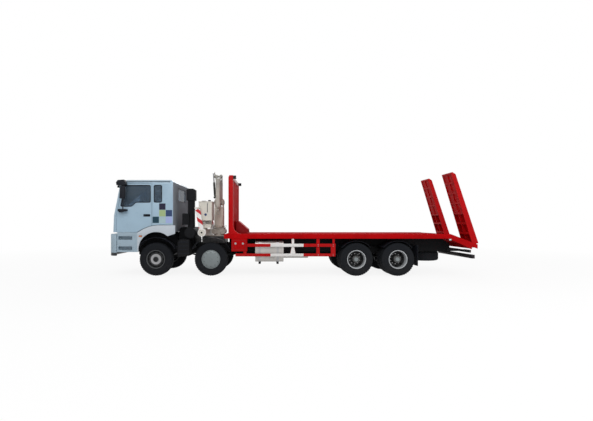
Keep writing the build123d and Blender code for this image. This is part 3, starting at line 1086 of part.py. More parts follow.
# Crane column
COLUMN_HALF = BOOM_HALF + MOVING_GAP + CHEEK
TRUNK_Z0 = SLEW_Z + 40.0
TRUNK_Z1 = BOOM_Z - 160.0
BOOM_PIN_R = 45.0
CHEEK_R = 118.0
turntable = bar_z(CRANE_X, 0, SLEW_Z + 6, TRUNK_Z0 + 10, SLEW_R - 4)
trunk = plate_x([(-170, TRUNK_Z0), (170, TRUNK_Z0), (150, TRUNK_Z1 - 90), (110, TRUNK_Z1), (-110, TRUNK_Z1),
                 (-150, TRUNK_Z1 - 90)], CRANE_X - COLUMN_HALF, CRANE_X + COLUMN_HALF)
cheek_plates = both_sides(BOOM_HALF + MOVING_GAP, COLUMN_HALF, lambda x0, x1: joined(
    block(x0, x1, -110, 110, TRUNK_Z1 - 90, BOOM_Z), bar_x(x0, x1, BOOM_Y, BOOM_Z, CHEEK_R)))
boom_pin = bar_x(CRANE_X - COLUMN_HALF - 12, CRANE_X + COLUMN_HALF + 12, BOOM_Y, BOOM_Z, BOOM_PIN_R)
foot_lugs = both_sides(LIFT_EYE_HALF + 6, LIFT_EYE_HALF + 36, lambda x0, x1: joined(
    bar_x(x0, x1, *LIFT_FOOT, LIFT_EYE_R + 4),
    plate_x([(-150, LIFT_FOOT[1] - 80), (LIFT_FOOT[0], LIFT_FOOT[1] - LIFT_EYE_R - 4),
             (LIFT_FOOT[0], LIFT_FOOT[1] + LIFT_EYE_R + 4), (-150, LIFT_FOOT[1] + 80)], x0, x1)))
lift_pin = bar_x(CRANE_X - LIFT_EYE_HALF - 42, CRANE_X + LIFT_EYE_HALF + 42, *LIFT_FOOT, LIFT_PIN_R)
spigot = bar_z(CRANE_X, 0, SLEW_Z - 140, TRUNK_Z0, SPIGOT_R)
save("crane_column", joined(turntable, spigot, trunk, cheek_plates, boom_pin, foot_lugs, lift_pin))

# Inner boom: box section, fork for the jib and lugs for its cylinders
ELBOW_PIN_R = 36.0
FORK_R = 72.0
BOOM_TOP = ELBOW_Z - 120.0
boom_y0 = BOOM_Y - BOOM_DEPTH / 2
boom_y1 = BOOM_Y + BOOM_DEPTH / 2
root = bar_x(CRANE_X - BOOM_HALF, CRANE_X + BOOM_HALF, BOOM_Y, BOOM_Z, BOOM_HALF)
boom_box = plate_z(octagon(BOOM_Y, BOOM_HALF, BOOM_DEPTH / 2, BOOM_CUT, 0), BOOM_Z, BOOM_TOP)
fork_arms = both_sides(BOOM_HALF - FORK, BOOM_HALF, lambda x0, x1: joined(
    plate_x([(boom_y0 + BOOM_CUT, BOOM_TOP - 60), (boom_y1 - BOOM_CUT, BOOM_TOP - 80), (ELBOW_Y + 55, ELBOW_Z - 50),
             (ELBOW_Y + 20, ELBOW_Z + 68), (boom_y0 + BOOM_CUT, ELBOW_Z - 40)], x0, x1),
    bar_x(x0, x1, ELBOW_Y, ELBOW_Z, FORK_R)))
LIFT_LUG_R = 38.0
LIFT_LUG_SPREAD = 90.0
lift_lugs = both_sides(LIFT_EYE_HALF + 3, LIFT_EYE_HALF + 27, lambda x0, x1: joined(
    bar_x(x0, x1, *LIFT_EYE, LIFT_LUG_R),
    plate_x([(boom_y0 + 2, LIFT_EYE[1] - LIFT_LUG_SPREAD), (LIFT_EYE[0], LIFT_EYE[1] - LIFT_LUG_R),
             (LIFT_EYE[0], LIFT_EYE[1] + LIFT_LUG_R), (boom_y0 + 2, LIFT_EYE[1] + LIFT_LUG_SPREAD)], x0, x1)))
jib_foot = bar_x(CRANE_X + BOOM_HALF - 30, CRANE_X + JIBCYL_X + 42, *JIBCYL_FOOT, JIBCYL_PIN_R)
jib_foot_lug = block(CRANE_X + BOOM_HALF - 50, CRANE_X + BOOM_HALF, JIBCYL_FOOT[0] - 35, boom_y0 + 30,
                     JIBCYL_FOOT[1] - 70, JIBCYL_FOOT[1] + 70)
boom = joined(root, boom_box, fork_arms, lift_lugs, jib_foot, jib_foot_lug)
boom = boom - bar_x(CRANE_X - 400, CRANE_X + 400, BOOM_Y, BOOM_Z, BOOM_PIN_R + PIN_PLAY)
boom = boom - bar_x(CRANE_X - 400, CRANE_X + 400, ELBOW_Y, ELBOW_Z, ELBOW_PIN_R + PIN_PLAY)
save("crane_boom", boom)

# Jib, hanging beside the boom on its elbow pin
JIB_ROOT_Z = ELBOW_Z - 88.0
jib_y0 = JIB_Y - JIB_DEPTH / 2
jib_y1 = JIB_Y + JIB_DEPTH / 2
jib_box = plate_z(octagon(JIB_Y, JIB_HALF, JIB_DEPTH / 2, JIB_CUT, 0), JIB_TIP_Z, JIB_ROOT_Z)
jib_room = plate_z(octagon(JIB_Y, JIB_HALF, JIB_DEPTH / 2, JIB_CUT, JIB_WALL), JIB_TIP_Z - 10, JIB_ROOT_Z - 20)
jib_ears = both_sides(JIB_HALF - 28, JIB_HALF, lambda x0, x1: joined(
    bar_x(x0, x1, ELBOW_Y, ELBOW_Z, FORK_R - 8),
    plate_x([(ELBOW_Y, ELBOW_Z + FORK_R - 8), (ELBOW_Y - 20, ELBOW_Z - 60), (jib_y0 + JIB_CUT, JIB_ROOT_Z - 60),
             (jib_y1 - JIB_CUT, JIB_ROOT_Z - 60), (jib_y1 - JIB_CUT, JIB_ROOT_Z), (ELBOW_Y + 70, ELBOW_Z + 50)],
            x0, x1)))
CRANK_X0 = CRANE_X + BOOM_HALF + MOVING_GAP
CRANK_W = 24.0
elbow_pin = bar_x(CRANE_X - BOOM_HALF - 14, CRANK_X0 + CRANK_W, ELBOW_Y, ELBOW_Z, ELBOW_PIN_R)
crank_eye = (ELBOW_Y + JIBCYL_ARM[0], ELBOW_Z + JIBCYL_ARM[1])
reach = math.hypot(*JIBCYL_ARM)
ny = -JIBCYL_ARM[1] / reach * 32
nz = JIBCYL_ARM[0] / reach * 32
crank = joined(bar_x(CRANK_X0, CRANK_X0 + CRANK_W, ELBOW_Y, ELBOW_Z, 52),
               bar_x(CRANK_X0, CRANK_X0 + CRANK_W, *crank_eye, 36),
               plate_x([(ELBOW_Y + ny, ELBOW_Z + nz), (crank_eye[0] + ny, crank_eye[1] + nz),
                        (crank_eye[0] - ny, crank_eye[1] - nz), (ELBOW_Y - ny, ELBOW_Z - nz)],
                       CRANK_X0, CRANK_X0 + CRANK_W))
save("crane_jib", joined(jib_box - jib_room, jib_ears, elbow_pin, crank))

# Extension with its hook
HOOK_R0 = 38.0
HOOK_R1 = 66.0
HOOK_HALF = 16.0
HOOK_Z = JIB_TIP_Z - 235.0
ext_ring = octagon(JIB_Y, JIB_HALF, JIB_DEPTH / 2, JIB_CUT, JIB_WALL + SLIDE_PLAY)
ext_box = plate_z(ext_ring, JIB_TIP_Z - 45, JIB_ROOT_Z - 120)
shackle = block(CRANE_X - 14, CRANE_X + 14, JIB_Y - 45, JIB_Y + 45, JIB_TIP_Z - 110, JIB_TIP_Z - 40)
hook_block = bar_x(CRANE_X - 45, CRANE_X + 45, JIB_Y, JIB_TIP_Z - 125, 42)
hook = ring_arc_y(CRANE_X, HOOK_Z, HOOK_R0, HOOK_R1, 90, 385, JIB_Y - HOOK_HALF, JIB_Y + HOOK_HALF)
shank = bar_z(CRANE_X, JIB_Y, HOOK_Z + HOOK_R0 + 2, JIB_TIP_Z - 120, 17)
save("crane_extension", joined(ext_box, shackle, hook_block, hook, shank))


# Hydraulic cylinders: barrel on its foot pin, rod with a solid eye
def hydraulic(x, foot, eye, length, rod_start, barrel_r, rod_r, eye_half, pin_r, eye_r):
    span = math.dist(foot, eye)
    angle = math.degrees(math.atan2(eye[0] - foot[0], eye[1] - foot[1]))
    place = Pos(x, foot[0], foot[1]) * Rot(-angle, 0, 0)
    tube = bar_z(0, 0, eye_r + 26, length, barrel_r) - bar_z(0, 0, eye_r + 40, length - 40, barrel_r - 9)
    tube = tube - bar_z(0, 0, eye_r + 34, length + 10, rod_r + PIN_PLAY)
    neck = bar_z(0, 0, 20, eye_r + 28, eye_half - 4)
    heel = bar_x(-eye_half, eye_half, 0, 0, eye_r)
    barrel = joined(tube, neck, heel) - bar_x(-eye_half - 5, eye_half + 5, 0, 0, pin_r + PIN_PLAY)
    rod = joined(bar_z(0, 0, rod_start, span - 20, rod_r), bar_x(-eye_half, eye_half, 0, span, eye_r - 4))
    return place * barrel, place * rod


lift_barrel, lift_rod = hydraulic(CRANE_X, LIFT_FOOT, LIFT_EYE, LIFT_BARREL, LIFT_ROD_START, 52, 28, LIFT_EYE_HALF,
                                  LIFT_PIN_R, LIFT_EYE_R)
jib_barrel, jib_rod = hydraulic(CRANE_X + JIBCYL_X, JIBCYL_FOOT, crank_eye, JIBCYL_BARREL, JIBCYL_ROD_START, 38, 21, 30,
                                JIBCYL_PIN_R, 42)
save("lift_barrel", lift_barrel)
save("lift_rod", lift_rod)
save("jib_barrel", jib_barrel)
save("jib_rod", jib_rod)
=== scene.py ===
import json
import math
import bmesh
import bpy
from mathutils import Matrix, Vector


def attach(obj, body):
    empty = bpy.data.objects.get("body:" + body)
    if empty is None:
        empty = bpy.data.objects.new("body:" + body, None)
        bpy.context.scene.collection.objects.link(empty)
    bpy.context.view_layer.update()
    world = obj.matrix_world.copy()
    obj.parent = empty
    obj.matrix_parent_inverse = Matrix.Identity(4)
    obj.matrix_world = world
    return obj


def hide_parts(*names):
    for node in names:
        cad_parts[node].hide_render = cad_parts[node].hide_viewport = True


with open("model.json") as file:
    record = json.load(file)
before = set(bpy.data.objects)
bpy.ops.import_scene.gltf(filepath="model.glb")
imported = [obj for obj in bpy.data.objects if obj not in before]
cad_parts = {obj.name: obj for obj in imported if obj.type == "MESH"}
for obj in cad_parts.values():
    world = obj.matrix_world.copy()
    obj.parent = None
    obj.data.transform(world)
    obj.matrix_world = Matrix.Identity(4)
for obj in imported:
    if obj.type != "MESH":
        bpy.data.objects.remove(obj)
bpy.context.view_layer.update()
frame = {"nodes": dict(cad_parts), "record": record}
nodes = frame["nodes"]
scene = bpy.context.scene

# Places, in metres, as in the part
AXLES = {"1": 4.4725, "2": 2.6825, "3": -2.0275, "4": -3.3675}
HUB_Z = 0.540
FRONT_Y = 1.018
DUAL_YS = (1.083, 0.743)
SIDE_Y = 1.245
BED_Y = 1.250
CRANE_X = 2.5575
RIGGER_X, RIGGER_Z = 2.9625, 1.410
X1, X2 = AXLES["1"], AXLES["2"]


# Material nodes

class Tree:
    """A material with short calls for the nodes used here."""

    def __init__(self, name):
        self.mat = bpy.data.materials.new(name)
        self.mat.use_nodes = True
        self.nodes = self.mat.node_tree.nodes
        self.links = self.mat.node_tree.links
        self.shader = self.nodes["Principled BSDF"]
        self.coord = self.nodes.new("ShaderNodeTexCoord").outputs["Object"]
        split = self.nodes.new("ShaderNodeSeparateXYZ")
        self.links.new(self.coord, split.inputs["Vector"])
        self.x, self.y, self.z = split.outputs

    def feed(self, socket, value):
        if hasattr(value, "links"):
            self.links.new(value, socket)
        elif isinstance(value, tuple):
            socket.default_value = (*value, 1.0)
        else:
            socket.default_value = value

    def stretched(self, scale):
        node = self.nodes.new("ShaderNodeVectorMath")
        node.operation = "MULTIPLY"
        self.links.new(self.coord, node.inputs[0])
        node.inputs[1].default_value = scale
        return node.outputs["Vector"]

    def noise(self, scale, detail=3.0, rough=0.55, vector=None):
        node = self.nodes.new("ShaderNodeTexNoise")
        node.inputs["Scale"].default_value = scale
        node.inputs["Detail"].default_value = detail
        node.inputs["Roughness"].default_value = rough
        self.links.new(vector or self.coord, node.inputs["Vector"])
        return node.outputs["Fac"]

    def ramp(self, source, low, high, a=0.0, b=1.0):
        node = self.nodes.new("ShaderNodeMapRange")
        for key, value in (("From Min", low), ("From Max", high), ("To Min", a), ("To Max", b)):
            node.inputs[key].default_value = value
        self.links.new(source, node.inputs["Value"])
        return node.outputs["Result"]

    def calc(self, kind, a, b=0.0, clamp=False):
        node = self.nodes.new("ShaderNodeMath")
        node.operation = kind
        node.use_clamp = clamp
        self.feed(node.inputs[0], a)
        self.feed(node.inputs[1], b)
        return node.outputs[0]

    def mix(self, factor, a, b):
        node = self.nodes.new("ShaderNodeMix")
        node.data_type = "RGBA"
        self.feed(node.inputs["Factor"], factor)
        self.feed(node.inputs["A"], a)
        self.feed(node.inputs["B"], b)
        return node.outputs["Result"]

    def within(self, source, low, high, soft=0.004):
        """1 between low and high, 0 outside."""
        rise = self.ramp(source, low - soft, low + soft)
        fall = self.ramp(source, high - soft, high + soft, 1.0, 0.0)
        return self.calc("MULTIPLY", rise, fall)

    def radius(self, x, z):
        """Distance from a wheel's axis."""
        dx = self.calc("SUBTRACT", self.x, x)
        dz = self.calc("SUBTRACT", self.z, z)
        both = self.calc("ADD", self.calc("MULTIPLY", dx, dx), self.calc("MULTIPLY", dz, dz))
        return self.calc("SQRT", both)

    def bump(self, source, strength, distance=0.002):
        node = self.nodes.new("ShaderNodeBump")
        node.inputs["Strength"].default_value = strength
        node.inputs["Distance"].default_value = distance
        self.links.new(source, node.inputs["Height"])
        self.links.new(node.outputs["Normal"], self.shader.inputs["Normal"])


DUST = (0.16, 0.145, 0.125)
DUST_Z = 0.30  # road dust is thickest from here down
PATCHES, SPECKLES = 1.9, 11.0  # noise scales of the soft patches and the fine speckle
RAIN = (14.0, 14.0, 1.1)  # stretch that draws noise out into rain streaks
RAIN_SHADE = 0.45
COAT_ROUGHNESS = 0.10


def paint(name, colour, rough=0.4, metal=0.0, coat=0.0, vary=0.10, dirt=0.3, dirt_top=1.25, streak=0.10,
          grain=(90.0, 0.05), marks=(), shine=0.3, relief=None, dull=None):
    """Worn paint, rubber or metal: soft patches, rain streaks and road dust that thins out upwards.

    marks: rows of (mask maker, colour) laid over the base colour; dull: mask of an unpolished area."""
    t = Tree(name)
    patches = t.ramp(t.noise(PATCHES), 0.33, 0.67)

    def patchy(rgb):
        return t.mix(patches, tuple(c * (1.0 - vary) for c in rgb), rgb)

    base = patchy(colour)
    for mask, other in marks:
        base = t.mix(mask(t), base, patchy(other))
    runs = t.noise(1.0, 4.0, 0.6, t.stretched(RAIN))
    base = t.mix(t.ramp(runs, 0.52, 0.80, 0.0, streak), base, tuple(c * RAIN_SHADE for c in colour))
    speckle = t.noise(SPECKLES, 5.0, 0.65)
    low = t.ramp(t.z, dirt_top, DUST_Z, 0.0, dirt)
    dusty = t.calc("MULTIPLY", low, t.ramp(speckle, 0.30, 0.72), clamp=True)
    base = t.mix(dusty, base, DUST)
    t.feed(t.shader.inputs["Base Color"], base)
    t.feed(t.shader.inputs["Roughness"], t.ramp(speckle, 0.30, 0.70, rough * 0.85, min(1.0, rough * 1.2)))
    t.shader.inputs["Metallic"].default_value = metal
    t.shader.inputs["Coat Weight"].default_value = coat
    t.shader.inputs["Coat Roughness"].default_value = COAT_ROUGHNESS
    t.shader.inputs["Specular IOR Level"].default_value = shine
    if dull:
        polish = t.calc("SUBTRACT", 1.0, dull(t))
        t.feed(t.shader.inputs["Coat Weight"], t.calc("MULTIPLY", polish, coat))
        t.feed(t.shader.inputs["Specular IOR Level"], t.calc("MULTIPLY", polish, shine))
    height = t.noise(grain[0], 2.0)
    if relief:
        height = t.calc("ADD", t.calc("MULTIPLY", height, 0.1), relief(t))
    t.bump(height, grain[1])
    return t.mat


def rim_paint(axle, rows):
    """Rings of colour about a wheel's axis: rows of (inner radius, outer radius, colour)."""
    x = AXLES[axle]
    marks = [(lambda t, a=a, b=b: t.within(t.radius(x, HUB_Z), a, b, 0.002), c) for a, b, c in rows]
    return paint(f"rim_{axle}", (0.030, 0.032, 0.035), 0.42, dirt=0.15, marks=marks, shine=0.15)


STRIPE_SLOPE, STRIPE_PITCH, STRIPE_Z = 0.75, 0.285, 1.545


def stripes(t):
    """Slanting bands down an outrigger leg, above its hub."""
    slope = t.calc("SUBTRACT", t.z, t.calc("MULTIPLY", t.x, STRIPE_SLOPE))
    wave = t.calc("FRACT", t.calc("MULTIPLY", slope, 1.0 / STRIPE_PITCH))
    band = t.within(wave, 0.08, 0.52, 0.02)
    return t.calc("MULTIPLY", band, t.ramp(t.z, STRIPE_Z, STRIPE_Z + 0.005))


LOZENGE, DECK_Z = 0.07, 1.340


def tread_plate(t):
    """Crossed lozenges of a chequered floor plate on the level deck."""
    waves = []
    for kind in ("ADD", "SUBTRACT"):
        waves.append(t.calc("SINE", t.calc("MULTIPLY", t.calc(kind, t.x, t.y), 2 * math.pi / LOZENGE)))
    lozenge = t.ramp(t.calc("ABSOLUTE", t.calc("MULTIPLY", *waves)), 0.55, 0.80)
    return t.calc("MULTIPLY", lozenge, t.ramp(t.z, DECK_Z, DECK_Z + 0.010))


RED_RGB = (0.415, 0.0035, 0.0050)
WHITE_RGB = (0.72, 0.71, 0.70)
CREAM_RGB = (0.60, 0.57, 0.51)
SILVER_RGB = (0.42, 0.44, 0.46)
COVER_RGB = (0.200, 0.228, 0.236)
REAR_WALL_X = 3.886


def shaded_rear_wall(t):
    """The cab's back, coloured a darker grey as painted shade, with its coat and sheen taken off."""
    return t.ramp(t.x, REAR_WALL_X + 0.012, REAR_WALL_X)


def white_rails(t):
    """The white stretch on the outer faces of the side guards."""
    return t.calc("MULTIPLY", t.within(t.x, -0.313, 0.750), t.ramp(t.calc("ABSOLUTE", t.y), 1.213, 1.215))


def board_top(t):
    """The headboard's top rail between its posts, in a paler colour."""
    return t.calc("MULTIPLY", t.ramp(t.z, 3.135, 3.141), t.ramp(t.calc("ABSOLUTE", t.y), 1.142, 1.138))


# the cab paint's darker grey on the back wall is painted shade
CAB = paint("cab_paint", (0.315, 0.440, 0.545), 0.30, coat=0.2, dirt=0.12, streak=0.05, vary=0.06,
            marks=[(shaded_rear_wall, (0.215, 0.230, 0.255))], dull=shaded_rear_wall)
FLARE = paint("flare_paint", (0.47, 0.52, 0.57), 0.34, coat=0.15, dirt=0.10, streak=0.05, vary=0.06,
              marks=[(lambda t: t.ramp(t.x, 5.03, 5.06), (0.300, 0.390, 0.460)),
                     (lambda t: t.ramp(t.z, 0.762, 0.756), (0.012, 0.014, 0.018))])
RED = paint("bed_red", RED_RGB, 0.45, dirt=0.10, vary=0.14, shine=0.06)
DECK = paint("deck_red", RED_RGB, 0.75, dirt=0.10, vary=0.20, shine=0.02, grain=(90.0, 0.30),
             relief=tread_plate)
DEEP_RED = paint("deep_red", (0.20, 0.004, 0.006), 0.5, dirt=0.1)
GUARD = paint("guard_red", RED_RGB, 0.42, dirt=0.12, vary=0.14, shine=0.06,
              marks=[(white_rails, WHITE_RGB),
                     (lambda t: t.ramp(t.x, -4.995, -5.005), (0.02, 0.02, 0.022))])
BOARD = paint("board_red", RED_RGB, 0.40, dirt=0.1, vary=0.14, shine=0.06,
              marks=[(board_top, (0.55, 0.40, 0.40))])
WINCH = paint("winch_red", RED_RGB, 0.42, dirt=0.1, vary=0.14, shine=0.06,
              marks=[(lambda t: t.ramp(t.calc("ABSOLUTE", t.y), 0.404, 0.407), (0.24, 0.008, 0.010))])
BLACK = paint("chassis_black", (0.0085, 0.009, 0.0105), 0.6, dirt=0.06, shine=0.08)
PLASTIC = paint("black_plastic", (0.0095, 0.011, 0.016), 0.48, dirt=0.04, shine=0.12)
RUBBER = paint("tyre_rubber", (0.0100, 0.0115, 0.0145), 0.78, dirt=0.07, streak=0.0, grain=(140.0, 0.12),
               shine=0.06)
CREAM = paint("crane_cream", CREAM_RGB, 0.42, coat=0.1, dirt=0.15, streak=0.25, vary=0.12)
BASE = paint("base_cream", CREAM_RGB, 0.42, coat=0.1, dirt=0.15, streak=0.3, vary=0.12,
             marks=[(lambda t: t.ramp(t.z, 1.275, 1.268), (0.0095, 0.010, 0.012))])
# painted shade: the jib barrel is coloured dark grey to stand for the shadow over it
SHADED_JIB_GREY = paint("jib_barrel_shade_grey", (0.085, 0.090, 0.082), 0.45, dirt=0.0, streak=0.3, vary=0.2)
# painted light: a brighter copy of the crane cream that lifts the column out of its shadow
LIT_COLUMN_CREAM = paint("column_cream_lit", (0.78, 0.70, 0.61), 0.45, coat=0.1, dirt=0.15, streak=0.25, vary=0.12)
BOOM = paint("boom_cream", CREAM_RGB, 0.42, coat=0.1, dirt=0.0, streak=0.35, vary=0.16,
             marks=[(lambda t: t.ramp(t.z, 2.86, 3.06), (0.40, 0.385, 0.35))])
LEG = paint("leg_stripes", WHITE_RGB, 0.42, dirt=0.1, streak=0.12, marks=[(stripes, (0.45, 0.012, 0.018))])
ALLOY = paint("tank_alloy", (0.50, 0.48, 0.46), 0.38, metal=0.55, dirt=0.2, streak=0.25)
CHROME = paint("rod_chrome", (0.72, 0.73, 0.75), 0.14, metal=1.0, dirt=0.0, streak=0.1)
STEEL = paint("zinc_steel", (0.40, 0.40, 0.41), 0.38, metal=0.8, dirt=0.1)
INTERIOR = paint("interior_grey", (0.045, 0.046, 0.050), 0.75, dirt=0.0, streak=0.0)
LAMP = paint("lamp_body", (0.012, 0.013, 0.015), 0.45, dirt=0.1, shine=0.12,
             marks=[(lambda t: t.ramp(t.x, 5.5, 5.51), (0.42, 0.44, 0.46))])
CLEAR_LENS = paint("lamp_clear", (0.62, 0.63, 0.64), 0.12, coat=0.8, dirt=0.05)
RED_LENS = paint("lamp_red", (0.42, 0.010, 0.012), 0.15, coat=0.8, dirt=0.05)
AMBER_LENS = paint("lamp_amber", (0.62, 0.16, 0.02), 0.15, coat=0.8, dirt=0.05)
RIM_1 = rim_paint("1", [(0.088, 0.170, SILVER_RGB), (0.276, 0.310, (0.075, 0.080, 0.085))])
RIM_2 = rim_paint("2", [(0.0, 0.320, COVER_RGB)])
DUAL_RINGS = [(0.268, 0.320, SILVER_RGB), (0.0, 0.118, (0.070, 0.071, 0.072))]
RIM_3 = rim_paint("3", DUAL_RINGS)
RIM_4 = rim_paint("4", DUAL_RINGS)
COVER = paint("wheel_cover", COVER_RGB, 0.40, metal=0.3, dirt=0.15)
CLOTH = paint("seat_cloth", (0.040, 0.042, 0.048), 0.9, dirt=0.0, streak=0.0, grain=(420.0, 0.35))
DECALS = [paint(f"decal_{i}", c, 0.38, dirt=0.03, streak=0.0, vary=0.06, shine=0.1)
          for i, c in enumerate((
              (0.020, 0.052, 0.075), (0.042, 0.068, 0.150), (0.330, 0.430, 0.220), (0.350, 0.470, 0.500),
              (0.330, 0.390, 0.640), (0.026, 0.024, 0.048)))]


def glass_material():
    t = Tree("glass")
    smear = t.noise(3.0, 4.0, 0.6)
    tint = t.mix(t.ramp(smear, 0.4, 0.7), (0.20, 0.28, 0.37), (0.28, 0.36, 0.44))
    t.feed(t.shader.inputs["Base Color"], tint)
    t.feed(t.shader.inputs["Roughness"], t.ramp(smear, 0.4, 0.7, 0.02, 0.07))
    t.shader.inputs["Transmission Weight"].default_value = 0.80
    t.shader.inputs["IOR"].default_value = 1.12
    return t.mat


GLASS = glass_material()

LOOKS = {
    "cab_shell": CAB, "door": CAB, "front_lower_panels": FLARE, "cab_trim": PLASTIC, "cab_glass": GLASS,
    "door_glass": GLASS, "cab_interior": INTERIOR, "mirror": PLASTIC, "tyre": RUBBER, "rim_1": RIM_1,
    "rim_2": RIM_2, "rim_3": RIM_3, "rim_4": RIM_4, "knuckle": BLACK, "axles": BLACK, "chassis": BLACK,
    "powertrain": BLACK, "lamps": LAMP, "tanks": ALLOY, "mudguards": PLASTIC, "spare": RUBBER,
    "underrun": GUARD, "bed_deck": DECK, "bed_subframe": BLACK, "headboard": BOARD, "winch": WINCH,
    "ramp": RED, "crane": CREAM, "crane_column": LIT_COLUMN_CREAM, "crane_boom": BOOM, "crane_jib": BOOM,
    "crane_base": BASE, "lift_barrel": CREAM, "lift_rod": CHROME, "jib_barrel": SHADED_JIB_GREY, "jib_rod": CHROME,
    "outrigger": CREAM, "outrigger_leg": LEG,
}


def look_of(name):
    """The material under the longest key that the node's name starts with."""
    return LOOKS[max((k for k in LOOKS if name.startswith(k)), key=len)]


for name, obj in nodes.items():
    obj.data.materials.clear()
    obj.data.materials.append(look_of(name))


# Mesh building

def rect(a0, a1, b0, b1):
    return [(a0, b0), (a1, b0), (a1, b1), (a0, b1)]


def rounded(points, radius, steps=4):
    """The outline with its corners turned into arcs."""
    out = []
    count = len(points)
    for i in range(count):
        before, here, after = (Vector(points[(i + k) % count]) for k in (-1, 0, 1))
        a, b = (before - here), (after - here)
        reach = min(radius, a.length * 0.45, b.length * 0.45)
        p, q = here + a.normalized() * reach, here + b.normalized() * reach
        for s in range(steps + 1):
            f = s / steps
            out.append(tuple((1 - f) ** 2 * p + 2 * f * (1 - f) * here + f ** 2 * q))
    return out


def offset(points, gap):
    """The outline drawn a gap further in."""
    count = len(points)
    area = sum(p[0] * q[1] - q[0] * p[1] for p, q in zip(points, points[1:] + points[:1]))
    sign = 1.0 if area > 0 else -1.0
    lines = []
    for i in range(count):
        p, q = Vector(points[i]), Vector(points[(i + 1) % count])
        along = (q - p).normalized()
        lines.append((p + Vector((-along.y, along.x)) * gap * sign, along))
    out = []
    for i in range(count):
        (p, d), (q, e) = lines[i - 1], lines[i]
        cross = d.x * e.y - d.y * e.x
        f = ((q.x - p.x) * e.y - (q.y - p.y) * e.x) / cross
        out.append(tuple(p + d * f))
    return out


PLANES = {
    "x": lambda a, b, h: (h, a, b),
    "y": lambda a, b, h: (a, h, b),
    "z": lambda a, b, h: (a, b, h),
}


SHARP = 0.6  # radians; flatter edges of a plate's outline aren't bevelled


